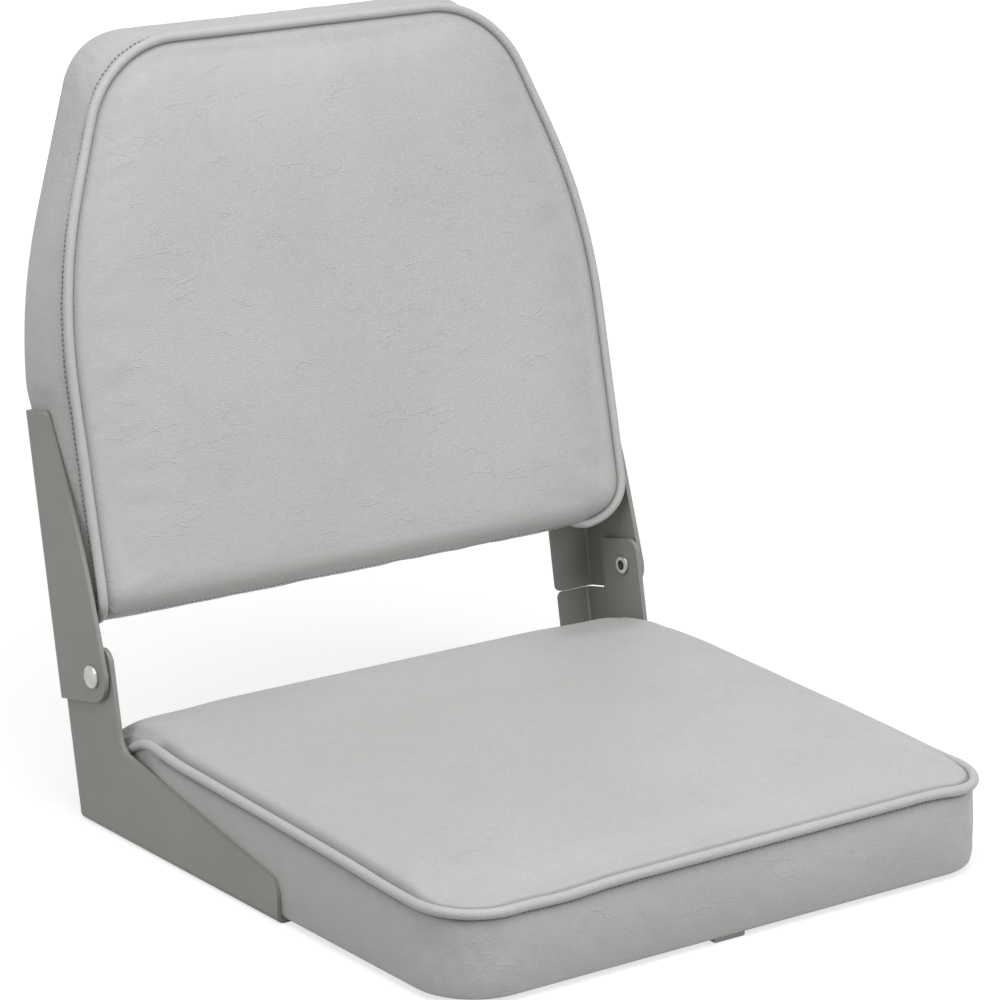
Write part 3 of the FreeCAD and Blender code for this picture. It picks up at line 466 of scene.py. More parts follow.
class Effects:
    """Shader groups that several finishes share, each built once."""

    def __init__(self) -> None:
        """Build the groups."""
        self.grain = self._grain()
        self.creases = self._creases()
        self.drift = self._drift()
        self.scuffs = self._scuffs()

    @staticmethod
    def _grain() -> bpy.types.NodeTree:
        """Pebbled grain: small uneven cells with fine grit between them."""
        inputs = {"Vector": ("NodeSocketVector", None), "Cells per Metre": ("NodeSocketFloat", 700.0)}
        tree, b, given, result = new_group("pebbled_grain", inputs, {"Height": "NodeSocketFloat"})
        scale = given.outputs["Cells per Metre"]
        sway = b.add("ShaderNodeTexNoise", {"Vector": given.outputs["Vector"], "Scale": b.math("MULTIPLY", scale, 0.6), "Detail": 2.0})
        swayed = b.add("ShaderNodeVectorMath", {0: sway.outputs["Color"], 1: (0.0016, 0.0016, 0.0016)}, operation="MULTIPLY")
        moved = b.add("ShaderNodeVectorMath", {0: given.outputs["Vector"], 1: swayed.outputs[0]}, operation="ADD")
        cells = b.add("ShaderNodeTexVoronoi", {"Vector": moved.outputs[0], "Scale": scale}, feature="DISTANCE_TO_EDGE")
        domes = b.span(cells.outputs["Distance"], 0.0, 0.32, 0.0, 1.0)
        grit = b.add("ShaderNodeTexNoise", {"Vector": given.outputs["Vector"], "Scale": b.math("MULTIPLY", scale, 2.2), "Detail": 3.0})
        height = b.math("ADD", b.math("MULTIPLY", domes, 0.7), b.math("MULTIPLY", grit.outputs["Fac"], 0.3))
        b.join(height, result.inputs["Height"])
        return tree

    @staticmethod
    def _creases() -> bpy.types.NodeTree:
        """Short creases that wander and fade, as pressed into sheet vinyl."""
        inputs = {
            "Vector": ("NodeSocketVector", None),
            "Creases per Metre": ("NodeSocketFloat", 42.0),
            "Amount": ("NodeSocketFloat", 0.5),
        }
        tree, b, given, result = new_group("short_creases", inputs, {"Height": "NodeSocketFloat"})
        scale = given.outputs["Creases per Metre"]
        place = b.add("ShaderNodeMapping", {"Vector": given.outputs["Vector"], "Scale": (0.40, 1.0, 1.0)}).outputs[0]
        sway = b.add("ShaderNodeTexNoise", {"Vector": place, "Scale": b.math("MULTIPLY", scale, 1.3), "Detail": 4.0, "Roughness": 0.6})
        swayed = b.add("ShaderNodeVectorMath", {0: sway.outputs["Color"], 1: (0.005, 0.005, 0.005)}, operation="MULTIPLY")
        moved = b.add("ShaderNodeVectorMath", {0: place, 1: swayed.outputs[0]}, operation="ADD")
        cells = b.add("ShaderNodeTexVoronoi", {"Vector": moved.outputs[0], "Scale": scale}, feature="DISTANCE_TO_EDGE")
        line = b.span(cells.outputs["Distance"], 0.0, 0.07, 1.0, 0.0)
        patch = b.add("ShaderNodeTexNoise", {"Vector": place, "Scale": b.math("MULTIPLY", scale, 0.55), "Detail": 3.0})
        threshold = b.math("SUBTRACT", 1.0, given.outputs["Amount"])
        kept = b.math("SUBTRACT", patch.outputs["Fac"], threshold)
        shown = b.span(kept, 0.0, 0.14, 0.0, 1.0)
        b.join(b.math("MULTIPLY", line, shown), result.inputs["Height"])
        return tree

    @staticmethod
    def _drift() -> bpy.types.NodeTree:
        """Slow change of tone over a surface, with a finer mottle in it."""
        inputs = {"Vector": ("NodeSocketVector", None), "Patches per Metre": ("NodeSocketFloat", 9.0)}
        tree, b, given, result = new_group("tone_drift", inputs, {"Share": "NodeSocketFloat"})
        scale, place = given.outputs["Patches per Metre"], given.outputs["Vector"]
        broad = b.add("ShaderNodeTexNoise", {"Vector": place, "Scale": scale, "Detail": 3.0, "Roughness": 0.55})
        fine = b.add("ShaderNodeTexNoise", {"Vector": place, "Scale": b.math("MULTIPLY", scale, 28.0), "Detail": 2.0})
        both = b.math("ADD", b.math("MULTIPLY", broad.outputs["Fac"], 0.72), b.math("MULTIPLY", fine.outputs["Fac"], 0.28))
        b.join(b.span(both, 0.3, 0.7, 0.0, 1.0), result.inputs["Share"])
        return tree

    @staticmethod
    def _scuffs() -> bpy.types.NodeTree:
        """Faint rubbed streaks and small specks on paint and plating."""
        inputs = {"Vector": ("NodeSocketVector", None), "Specks per Metre": ("NodeSocketFloat", 260.0)}
        tree, b, given, result = new_group("rubbed_marks", inputs, {"Share": "NodeSocketFloat"})
        place, scale = given.outputs["Vector"], given.outputs["Specks per Metre"]
        long_way = b.add("ShaderNodeMapping", {"Vector": place, "Scale": (1.0, 0.16, 0.5), "Rotation": (0.3, 0.2, 0.5)})
        streak = b.add("ShaderNodeTexNoise", {"Vector": long_way.outputs[0], "Scale": b.math("MULTIPLY", scale, 0.7), "Detail": 5.0, "Roughness": 0.65})
        speck = b.add("ShaderNodeTexNoise", {"Vector": place, "Scale": scale, "Detail": 2.0})
        rubbed = b.span(streak.outputs["Fac"], 0.6, 0.78, 0.0, 1.0)
        dotted = b.span(speck.outputs["Fac"], 0.7, 0.78, 0.0, 0.7)
        b.join(b.math("MAXIMUM", rubbed, dotted), result.inputs["Share"])
        return tree


def surface_of(name: str) -> tuple[bpy.types.Material, Board, bpy.types.Node, bpy.types.NodeSocket]:
    """New material with one plain surface shader and the object's own coordinates."""
    material = bpy.data.materials.new(name)
    material.use_nodes = True
    tree = material.node_tree
    tree.nodes.clear()
    board = Board(tree)
    shader = board.add("ShaderNodeBsdfPrincipled")
    output = board.add("ShaderNodeOutputMaterial")
    board.join(shader.outputs["BSDF"], output.inputs["Surface"])
    place = board.add("ShaderNodeTexCoord").outputs["Object"]
    return material, board, shader, place


def grouped(board: Board, tree: bpy.types.NodeTree, values: dict[str, object]) -> bpy.types.Node:
    """Place a shader group with its own values."""
    node = board.add("ShaderNodeGroup", node_tree=tree)
    for key, value in values.items():
        if isinstance(value, bpy.types.NodeSocket):
            board.join(value, node.inputs[key])
        else:
            node.inputs[key].default_value = value
    return node


Colour = tuple[float, float, float, float]


@dataclass(frozen=True)
class VinylFinish:
    """Marine vinyl with a fine pebbled grain, a few pressed creases, and painted shade in the pits of the grain and in
    the crevices beside the piped seams.
    """

    name: str = "marine_vinyl"
    light: Colour = (0.545, 0.548, 0.535, 1.0)
    dark: Colour = (0.500, 0.503, 0.490, 1.0)
    # seam: dark colour of painted shade, laid into the crevices beside the piped seams and into the pits of the grain
    seam: Colour = (0.16, 0.16, 0.155, 1.0)
    cells: float = 760.0
    grain_depth: float = 0.00017
    creases: float = 150.0
    crease_amount: float = 0.47
    crease_depth: float = 0.00016
    rough_low: float = 0.42
    rough_high: float = 0.54

    def material(self, effects: Effects) -> bpy.types.Material:
        """Build the material."""
        material, b, shader, place = surface_of(self.name)
        grain = grouped(b, effects.grain, {"Vector": place, "Cells per Metre": self.cells}).outputs["Height"]
        crease_values = {"Vector": place, "Creases per Metre": self.creases, "Amount": self.crease_amount}
        crease = grouped(b, effects.creases, crease_values).outputs["Height"]
        drift = grouped(b, effects.drift, {"Vector": place, "Patches per Metre": 7.0}).outputs["Share"]
        # The seam attribute is a painted-shade mask: it darkens the vinyl in the crevices where the piping meets the
        # panels and bands
        seam = b.add("ShaderNodeAttribute", attribute_name="seam").outputs["Fac"]
        toned = b.blend(drift, self.dark, self.light)
        # Painted shade in the pits between the grain's cells
        pit_shaded = b.blend(b.math("MULTIPLY", b.math("SUBTRACT", 1.0, grain), 0.16), toned, self.seam)
        # Painted shade in the seam crevices, by the seam mask
        b.join(b.blend(b.math("MULTIPLY", seam, 0.85), pit_shaded, self.seam), shader.inputs["Base Color"])
        b.join(b.span(drift, 0.0, 1.0, self.rough_high, self.rough_low), shader.inputs["Roughness"])
        shader.inputs["Specular IOR Level"].default_value = 0.42
        fine = b.add("ShaderNodeBump", {"Height": grain, "Strength": 1.0, "Distance": self.grain_depth})
        bump_values = {"Height": crease, "Strength": 1.0, "Distance": self.crease_depth, "Normal": fine.outputs[0]}
        b.join(b.add("ShaderNodeBump", bump_values).outputs[0], shader.inputs["Normal"])
        return material


@dataclass(frozen=True)
class PaintFinish:
    """Grey powder coat: orange-peel skin, faint specks and rubbed places."""

    name: str = "bracket_powder_coat"
    light: Colour = (0.280, 0.282, 0.260, 1.0)
    dark: Colour = (0.248, 0.250, 0.230, 1.0)
    rubbed: Colour = (0.36, 0.36, 0.345, 1.0)
    peel: float = 900.0
    peel_depth: float = 0.00005

    def material(self, effects: Effects) -> bpy.types.Material:
        """Build the material."""
        material, b, shader, place = surface_of(self.name)
        drift = grouped(b, effects.drift, {"Vector": place, "Patches per Metre": 16.0}).outputs["Share"]
        marks = grouped(b, effects.scuffs, {"Vector": place, "Specks per Metre": 300.0}).outputs["Share"]
        toned = b.blend(drift, self.dark, self.light)
        b.join(b.blend(b.math("MULTIPLY", marks, 0.3), toned, self.rubbed), shader.inputs["Base Color"])
        b.join(b.span(marks, 0.0, 1.0, 0.46, 0.36), shader.inputs["Roughness"])
        shader.inputs["Specular IOR Level"].default_value = 0.45
        peel = b.add("ShaderNodeTexNoise", {"Vector": place, "Scale": self.peel, "Detail": 2.0})
        bump = b.add("ShaderNodeBump", {"Height": peel.outputs["Fac"], "Strength": 1.0, "Distance": self.peel_depth})
        b.join(bump.outputs[0], shader.inputs["Normal"])
        return material


@dataclass(frozen=True)
class PlatedFinish:
    """Bright plated steel with fine handling marks."""

    name: str = "plated_fasteners"
    light: Colour = (0.56, 0.56, 0.54, 1.0)
    dark: Colour = (0.40, 0.40, 0.385, 1.0)

    def material(self, effects: Effects) -> bpy.types.Material:
        """Build the material."""
        material, b, shader, place = surface_of(self.name)
        drift = grouped(b, effects.drift, {"Vector": place, "Patches per Metre": 120.0}).outputs["Share"]
        marks = grouped(b, effects.scuffs, {"Vector": place, "Specks per Metre": 1600.0}).outputs["Share"]
        b.join(b.blend(drift, self.dark, self.light), shader.inputs["Base Color"])
        b.join(b.span(marks, 0.0, 1.0, 0.36, 0.55), shader.inputs["Roughness"])
        shader.inputs["Metallic"].default_value = 0.9
        bump = b.add("ShaderNodeBump", {"Height": marks, "Strength": 0.6, "Distance": 0.00003})
        b.join(bump.outputs[0], shader.inputs["Normal"])
        return material


@dataclass(frozen=True)
class PlywoodFinish:
    """Raw plywood: long pores and bands along the board, with a few darker flecks."""

    name: str = "raw_plywood"
    light: Colour = (0.56, 0.42, 0.26, 1.0)
    dark: Colour = (0.36, 0.23, 0.12, 1.0)

    def material(self, effects: Effects) -> bpy.types.Material:
        """Build the material."""
        material, b, shader, place = surface_of(self.name)
        laid = b.add("ShaderNodeMapping", {"Vector": place, "Scale": (0.09, 1.0, 1.0)}).outputs[0]
        bands = b.add("ShaderNodeTexNoise", {"Vector": laid, "Scale": 60.0, "Detail": 5.0, "Roughness": 0.6, "Distortion": 0.6})
        pores = b.add("ShaderNodeTexNoise", {"Vector": laid, "Scale": 900.0, "Detail": 2.0})
        marks = grouped(b, effects.scuffs, {"Vector": place, "Specks per Metre": 90.0}).outputs["Share"]
        figure = b.span(bands.outputs["Fac"], 0.3, 0.7, 0.0, 1.0)
        pored = b.math("MULTIPLY", figure, b.span(pores.outputs["Fac"], 0.35, 0.55, 0.7, 1.0))
        grainy = b.blend(pored, self.dark, self.light)
        b.join(b.blend(b.math("MULTIPLY", marks, 0.3), grainy, self.dark), shader.inputs["Base Color"])
        b.join(b.span(figure, 0.0, 1.0, 0.78, 0.66), shader.inputs["Roughness"])
        bump = b.add("ShaderNodeBump", {"Height": pores.outputs["Fac"], "Strength": 0.7, "Distance": 0.00015})
        b.join(bump.outputs[0], shader.inputs["Normal"])
        return material


@dataclass(frozen=True)
class NylonFinish:
    """Pale moulded nylon, faintly mottled."""

    name: str = "nylon_washer"
    light: Colour = (0.78, 0.77, 0.72, 1.0)
    dark: Colour = (0.68, 0.67, 0.62, 1.0)

    def material(self, effects: Effects) -> bpy.types.Material:
        """Build the material."""
        material, b, shader, place = surface_of(self.name)
        drift = grouped(b, effects.drift, {"Vector": place, "Patches per Metre": 90.0}).outputs["Share"]
        b.join(b.blend(drift, self.dark, self.light), shader.inputs["Base Color"])
        b.join(b.span(drift, 0.0, 1.0, 0.5, 0.42), shader.inputs["Roughness"])
        return material


@dataclass(frozen=True)
class ThreadFinish:
    """Grey sewing thread with a twist along it. It is kept dark enough to carry the shadow of the seam crevices too, so
    it is partly the thread's own colour and partly painted shade.
    """

    name: str = "grey_thread_and_seam_shade"
    light: Colour = (0.36, 0.36, 0.35, 1.0)
    dark: Colour = (0.20, 0.20, 0.195, 1.0)

    def material(self, effects: Effects) -> bpy.types.Material:
        """Build the material."""
        material, b, shader, place = surface_of(self.name)
        drift = grouped(b, effects.drift, {"Vector": place, "Patches per Metre": 60.0}).outputs["Share"]
        twist = b.add("ShaderNodeTexNoise", {"Vector": place, "Scale": 2600.0, "Detail": 1.0})
        b.join(b.blend(b.math("MULTIPLY", drift, twist.outputs["Fac"]), self.dark, self.light), shader.inputs["Base Color"])
        b.join(b.span(twist.outputs["Fac"], 0.3, 0.7, 0.75, 0.6), shader.inputs["Roughness"])
        return material


@dataclass(frozen=True)
class Finishes:
    """Every material of the seat."""

    vinyl: bpy.types.Material
    piping: bpy.types.Material
    paint: bpy.types.Material
    steel: bpy.types.Material
    plywood: bpy.types.Material
    nylon: bpy.types.Material
    thread: bpy.types.Material

    @classmethod
    def made(cls) -> "Finishes":
        """Build the shared effects and then each material."""
        effects = Effects()
        piping = VinylFinish(
            name="vinyl_piping",
            light=(0.565, 0.568, 0.555, 1.0),
            dark=(0.520, 0.523, 0.510, 1.0),
            crease_amount=0.42,
            crease_depth=0.00005,
        )
        return cls(
            vinyl=VinylFinish().material(effects),
            piping=piping.material(effects),
            paint=PaintFinish().material(effects),
            steel=PlatedFinish().material(effects),
            plywood=PlywoodFinish().material(effects),
            nylon=NylonFinish().material(effects),
            thread=ThreadFinish().material(effects),
        )


# Repeated pieces, made with geometry nodes

class Repeated:
    """Geometry-node tree that sets a small form along a line of places that carry their facing."""

    def __init__(self, name: str) -> None:
        """Build the tree's sockets; the nodes come from the kind of form."""
        self.tree = bpy.data.node_groups.new(name, "GeometryNodeTree")
        self.sockets: dict[str, str] = {}
        self.board = Board(self.tree)
        self._socket("Geometry", "NodeSocketGeometry", None)
        self.tree.interface.new_socket("Geometry", in_out="OUTPUT", socket_type="NodeSocketGeometry")

    def _socket(self, label: str, kind: str, value: object) -> None:
        """Add a named input."""
        socket = self.tree.interface.new_socket(label, in_out="INPUT", socket_type=kind)
        if value is not None:
            socket.default_value = value
        self.sockets[label] = socket.identifier

    def _facing(self) -> bpy.types.NodeSocket:
        """Rotation that lays a form along the line with its top to the stored facing."""
        b = self.board
        along = b.add("GeometryNodeInputNamedAttribute", {"Name": "along"}, data_type="FLOAT_VECTOR").outputs[0]
        up = b.add("GeometryNodeInputNamedAttribute", {"Name": "facing"}, data_type="FLOAT_VECTOR").outputs[0]
        laid = b.add("FunctionNodeAlignRotationToVector", {"Vector": along}, axis="X")
        turned_values = {"Rotation": laid.outputs[0], "Vector": up}
        return b.add("FunctionNodeAlignRotationToVector", turned_values, axis="Z", pivot_axis="X").outputs[0]

    def _finish(self, instances: bpy.types.NodeSocket, given: bpy.types.Node) -> None:
        """End the tree in real geometry with its material."""
        b = self.board
        real = b.add("GeometryNodeRealizeInstances", {"Geometry": instances})
        dressed_values = {"Geometry": real.outputs[0], "Material": given.outputs["Material"]}
        dressed = b.add("GeometryNodeSetMaterial", dressed_values)
        b.join(dressed.outputs[0], b.add("NodeGroupOutput").inputs[0])

    def placed(self, name: str, places: np.ndarray, facing: np.ndarray, along: np.ndarray, values: dict[str, object]) -> bpy.types.Object:
        """Set the form at places and turn the result into a plain mesh.

        Args:
            name: Name of the new piece.
            places: Where each form goes.
            facing: Outward direction at each place.
            along: Direction of the line at each place.
            values: The tree's inputs by name.

        Returns:
            The piece, with a plain mesh and no modifier.
        """
        seedbed = bpy.data.meshes.new(name + "_places")
        seedbed.from_pydata([tuple(p) for p in places], [], [])
        for label, rows in (("facing", facing), ("along", along)):
            stored = seedbed.attributes.new(label, "FLOAT_VECTOR", "POINT")
            stored.data.foreach_set("vector", rows.astype(np.float32).ravel())
        piece = linked(seedbed, name)
        modifier = piece.modifiers.new("repeated", "NODES")
        modifier.node_group = self.tree
        for label, value in values.items():
            modifier[self.sockets[label]] = value
        piece.update_tag()
        bpy.context.view_layer.update()
        evaluated = piece.evaluated_get(bpy.context.evaluated_depsgraph_get())
        made = bpy.data.meshes.new_from_object(evaluated)
        piece.modifiers.remove(modifier)
        piece.data = made
        made.name = name
        bpy.data.meshes.remove(seedbed)
        return piece


class StitchTree(Repeated):
    """Stitches: short rounded lengths of thread, each a little different."""

    def __init__(self) -> None:
        """Build the tree."""
        super().__init__("stitches")
        self._socket("Length", "NodeSocketFloat", 2.6 * MM)
        self._socket("Thread", "NodeSocketFloat", 0.7 * MM)
        self._socket("Unevenness", "NodeSocketFloat", 0.12)
        self._socket("Seed", "NodeSocketInt", SEED)
        self._socket("Material", "NodeSocketMaterial", None)
        b = self.board
        given = b.add("NodeGroupInput")
        ball = b.add("GeometryNodeMeshUVSphere", {"Segments": 7, "Rings": 5, "Radius": 0.5})
        smooth = b.add("GeometryNodeSetShadeSmooth", {"Geometry": ball.outputs[0]})
        low = b.math("SUBTRACT", 1.0, given.outputs["Unevenness"])
        high = b.math("ADD", 1.0, given.outputs["Unevenness"])
        change = b.add("FunctionNodeRandomValue", {2: low, 3: high, "Seed": given.outputs["Seed"]}, data_type="FLOAT")
        length = b.math("MULTIPLY", given.outputs["Length"], change.outputs[1])
        thread = given.outputs["Thread"]
        size = b.add("ShaderNodeCombineXYZ", {0: length, 1: thread, 2: thread})
        point_values = {
            "Points": given.outputs["Geometry"],
            "Instance": smooth.outputs[0],
            "Rotation": self._facing(),
            "Scale": size.outputs[0],
        }
        self._finish(b.add("GeometryNodeInstanceOnPoints", point_values).outputs[0], given)


class FastenerTree(Repeated):
    """Fasteners: copies of one modelled form, each turned by its own amount within a limit."""

    def __init__(self) -> None:
        """Build the tree."""
        super().__init__("fasteners")
        self._socket("Form", "NodeSocketObject", None)
        self._socket("Size", "NodeSocketFloat", 1.0)
        self._socket("Turn", "NodeSocketFloat", 0.6)
        self._socket("Seed", "NodeSocketInt", SEED)
        self._socket("Material", "NodeSocketMaterial", None)
        b = self.board
        given = b.add("NodeGroupInput")
        form = b.add("GeometryNodeObjectInfo", {"Object": given.outputs["Form"]})
        less = b.math("MULTIPLY", given.outputs["Turn"], -1.0)
        turn = b.add("FunctionNodeRandomValue", {2: less, 3: given.outputs["Turn"], "Seed": given.outputs["Seed"]}, data_type="FLOAT")
        spin = b.add("ShaderNodeCombineXYZ", {2: turn.outputs[1]})
        twist = b.add("FunctionNodeEulerToRotation", {0: spin.outputs[0]})
        rotation = b.add("FunctionNodeRotateRotation", {0: self._facing(), 1: twist.outputs[0]}, rotation_space="LOCAL")
        point_values = {
            "Points": given.outputs["Geometry"],
            "Instance": form.outputs["Geometry"],
            "Rotation": rotation.outputs[0],
            "Scale": given.outputs["Size"],
        }
        self._finish(b.add("GeometryNodeInstanceOnPoints", point_values).outputs[0], given)


# Padded pieces

@dataclass(frozen=True)
class Stuffing:
    """How a cushion's cover is blown up over its foam."""

    pressure: float = 4.0
    frames: int = 20
    vertex_mass: float = 0.0006
    tension: float = 6.0
    bending: float = 0.4
    spare_cloth: float = 0.002

    def fill(self, piece: bpy.types.Object, held: np.ndarray, room: np.ndarray) -> float:
        """Blow the cover up as cloth and keep the result.

        Args:
            piece: The cushion, starting slightly small.
            held: Vertex numbers that stay where they are, such as seams and hems.
            room: How far each vertex may move.

        Returns:
            The greatest movement that was kept.
        """
        group = piece.vertex_groups.new(name="held")
        group.add([int(i) for i in held], 1.0, "REPLACE")
        cloth = piece.modifiers.new("stuffing", "CLOTH")
        settings = cloth.settings
        settings.quality = 6
        settings.mass = self.vertex_mass
        settings.tension_stiffness = self.tension
        settings.compression_stiffness = self.tension
        settings.shear_stiffness = self.tension / 3
        settings.bending_stiffness = self.bending
        settings.tension_damping = 8.0
        settings.compression_damping = 8.0
        settings.air_damping = 2.0
        settings.shrink_min = -self.spare_cloth
        settings.use_pressure = True
        settings.uniform_pressure_force = self.pressure
        settings.vertex_group_mass = group.name
        settings.effector_weights.gravity = 0.0
        cloth.collision_settings.use_collision = False
        cloth.point_cache.frame_start = 1
        cloth.point_cache.frame_end = self.frames
        start = places_of(piece.data)
        scene = bpy.context.scene
        for number in range(1, self.frames + 1):
            scene.frame_set(number)
        shaped = places_of(piece.evaluated_get(bpy.context.evaluated_depsgraph_get()).data)
        piece.modifiers.remove(cloth)
        piece.vertex_groups.remove(group)
        scene.frame_set(1)
        move = shaped - start
        reach = np.linalg.norm(move, axis=1)
        move *= np.minimum(1.0, room / np.maximum(reach, 1e-9))[:, None]
        set_places(piece.data, start + move)
        LOG.info("%s: free movement %.1f mm, kept %.1f mm", piece.name, reach.max() / MM, np.minimum(reach, room).max() / MM)
        return float(np.minimum(reach, room).max())


def subdivided(piece: bpy.types.Object) -> None:
    """Smooth a piece with one subdivision."""
    modifier = piece.modifiers.new("smoothing", "SUBSURF")
    modifier.levels = 1
    modifier.render_levels = 1


@dataclass
class SeatCushion:
    """Seat cushion: crowned top panel, side band with a piped seam, rolled rear edge and a hem under the board."""

    half: float = 0.1947
    rear_half: float = 0.1897
    front: float = -0.194
    rear: float = 0.194
    neck_rear: float = 0.161
    corner: float = 0.038
    rear_corner: float = 0.014
    waist_start: float = 0.0873
    waist_end: float = 0.1373
    waist_radius: float = 0.150
    neck_front: float = 0.049
    neck_slope: float = 0.042
    crown: float = 0.011
    crown_reach: float = 0.078
    edge_puff: float = 0.30
    edge_reach: float = 0.0030
    side_puff: float = 0.0052
    side_reach: float = 0.030
    roll_start: float = 0.100
    roll_floor: float = 0.010
    roll_power: float = 2.6
    front_bulge: float = 0.0020
    side_bulge: float = 0.001
    band_puff: float = 0.0021
    band_puff_reach: float = 0.0016
    groove: float = 0.0026
    foot: float = -0.001
    foot_round: float = 0.0026
    hem: float = 0.028
    board_gap: float = 0.0013
    board_top: float = 0.0137
    plate_inside: float = 0.1961
    plate_front: float = -0.030
    seam_end: float = 0.118
    seam_drop: float = 0.045
    welt_radius: float = 0.003
    welt_offset: float = 0.0017
    slack: float = 0.003
    stuffing: Stuffing = field(default_factory=Stuffing)

    def __post_init__(self) -> None:
        """Set out the grid."""
        self.form = PaddedMesh(eased_shares(72, 0.62), eased_shares(72, 0.62))
        self.neck_ring = np.zeros((0, 3))
        self.piece: bpy.types.Object | None = None

    def outline(self, half: float, front: float, rear: float, inset: float) -> Outline:
        """Plan of the cushion at one level, drawn in by an inset."""
        narrow = self.rear_half - inset
        wide = half - inset
        turn = max(self.corner - inset, 0.010)
        rear_turn = max(self.rear_corner - inset, 0.004)
        waist = self.waist_radius
        near, far = front + inset, rear - inset
        corners = (
            (-wide, near, turn), (wide, near, turn),
            (wide, self.waist_start, waist), (narrow, self.waist_end, waist), (narrow, far, rear_turn),
            (-narrow, far, rear_turn), (-narrow, self.waist_end, waist), (-wide, self.waist_start, waist),
        )
        return Outline(corners, (0, 1, 4, 5))

    def neck_height(self, x: np.ndarray, y: np.ndarray) -> np.ndarray:
        """Height of the piped seam, with the bow and droop that sewing gives it."""
        plane = self.neck_front + self.neck_slope * (y - self.front)
        near_front = 1.0 - smooth_step(self.front + 0.004, self.front + 0.075, y)
        inside = 1.0 - smooth_step(0.135, 0.188, np.abs(x))
        droop = -0.0016 * np.exp(-(((x + 0.125) / 0.024) ** 2))
        bow = near_front * inside * (0.0028 + 0.006 * x + droop)
        sag = -0.0010 * np.exp(-(((y + 0.135) / 0.035) ** 2)) * (1.0 - inside)
        return plane + bow + sag

    def rolled(self, height: np.ndarray, y: np.ndarray) -> np.ndarray:
        """Height after the rear edge rolls over."""
        share = np.clip((y - self.roll_start) / (self.rear - self.roll_start), 0.0, 1.0)
        fall = (1.0 - share ** self.roll_power) ** (1.0 / self.roll_power)
        return self.roll_floor + (height - self.roll_floor) * fall

    def seam_line(self, ring: np.ndarray) -> np.ndarray:
        """The part of the neck ring that is sewn: the left side, the front and the right side."""
        n, m = self.form.columns, self.form.rows
        return np.vstack([ring[2 * n + m:], ring[:n + m + 1]])

    def build(self, finishes: Finishes) -> bpy.types.Object:
        """Make the cushion's mesh, stuff it and dress it."""
        form = self.form
        plan = self.outline(self.half, self.front, self.neck_rear, 0.0).ring(form.across, form.along)
        foot = self.outline(self.half, self.front, self.rear, 0.0).ring(form.across, form.along)
        seam = self.seam_line(plan)
        grid = form.grid_on(plan)
        off_seam = distance_to_line(grid, seam)
        rise = 1.0 - np.clip(1.0 - off_seam / self.crown_reach, 0.0, 1.0) ** 2
        puff = 1.0 - np.exp(-np.maximum(off_seam - 0.0008, 0.0) / self.edge_reach)
        dome = self.crown * ((1.0 - self.edge_puff) * rise + self.edge_puff * puff)
        beside = smooth_step(self.front + 0.026, self.front + 0.056, grid[:, 1]) * smooth_step(0.13, 0.17, np.abs(grid[:, 0]))
        dome += self.side_puff * beside * puff * np.exp(-off_seam / self.side_reach)
        height = self.rolled(self.neck_height(grid[:, 0], grid[:, 1]) + dome, grid[:, 1])
        rim = form.add_grid(np.column_stack([grid, height]), True)
        top_count = len(form.places)
        self.neck_ring = form.places[rim]
        outward = ring_outward(plan)
        facing_front = np.clip(-outward[:, 1], 0.0, 1.0)
        bulge = self.side_bulge + (self.front_bulge - self.side_bulge) * facing_front
        low = self.foot + self.foot_round
        above = rim
        wall_rings = []
        for share in (0.028, 0.055, 0.075, 0.10, 0.14, 0.20, 0.29, 0.40, 0.52, 0.64, 0.76, 0.88, 1.0):
            z = self.neck_ring[:, 2] * (1.0 - share) + low * share
            top = self.neck_ring[:, 2]
            crest = self.roll_floor + (top - self.roll_floor) / self._fall_at(self.neck_rear)
            spread = self._spread(z, crest)
            begin = self._spread(top, crest)
            shift = np.clip((spread - begin) / (1.0 - begin), 0.0, 1.0)[:, None]
            below = self.neck_ring[:, 2] - z
            free = np.maximum(below - self.groove, 0.0)
            swell = bulge * (4.0 * share * (1.0 - share)) + self.band_puff * (1.0 - np.exp(-free / self.band_puff_reach))
            swell *= 1.0 - 0.4 * smooth_step(0.85, 1.0, share)
            flat = plan + (foot - plan) * shift + outward * swell[:, None]
            above = form.add_ring(np.column_stack([flat, z]), above)
            wall_rings.append(above)
        foot_flat = form.places[above][:, :2]
        under_outward = ring_outward(foot_flat)
        held = [rim, above]
        for turn in (0.35, 0.7, 1.0):
            angle = turn * math.pi / 2
            inset = self.foot_round * (1.0 - math.cos(angle))
            z = low - self.foot_round * math.sin(angle)
            places = np.column_stack([foot_flat - under_outward * inset, np.full(form.count, z)])
            above = form.add_ring(places, above)
            held.append(above)
        board = self.outline(self.half, self.front, self.rear, self.board_gap)
        hem = self.outline(self.half, self.front, self.rear, self.board_gap + self.hem).ring(form.across, form.along)
        edge = board.ring(form.across, form.along)
        gather = self._gathers(hem)
        for flat, z in (
            (0.5 * (hem + form.places[above][:, :2]), self.foot - 0.5 * gather),
            (hem, self.foot - gather),
            (hem, np.full(form.count, -0.00015)),
            (edge, np.full(form.count, -0.00015)),
            (edge, np.full(form.count, self.board_top)),
        ):
            above = form.add_ring(np.column_stack([flat, z]), above)
            held.append(above)
        form.close(above)
        mesh = mesh_of("seat_cushion", form.places, form.faces)
        piece = linked(mesh, "seat_cushion")
        mesh.materials.append(finishes.vinyl)
        off_rim = distance_to_line(grid, np.vstack([plan, plan[:1]]))
        self._stuff(piece, off_rim, top_count, wall_rings, np.concatenate(held))
        self._pucker(piece, wall_rings)
        self._press(mesh)
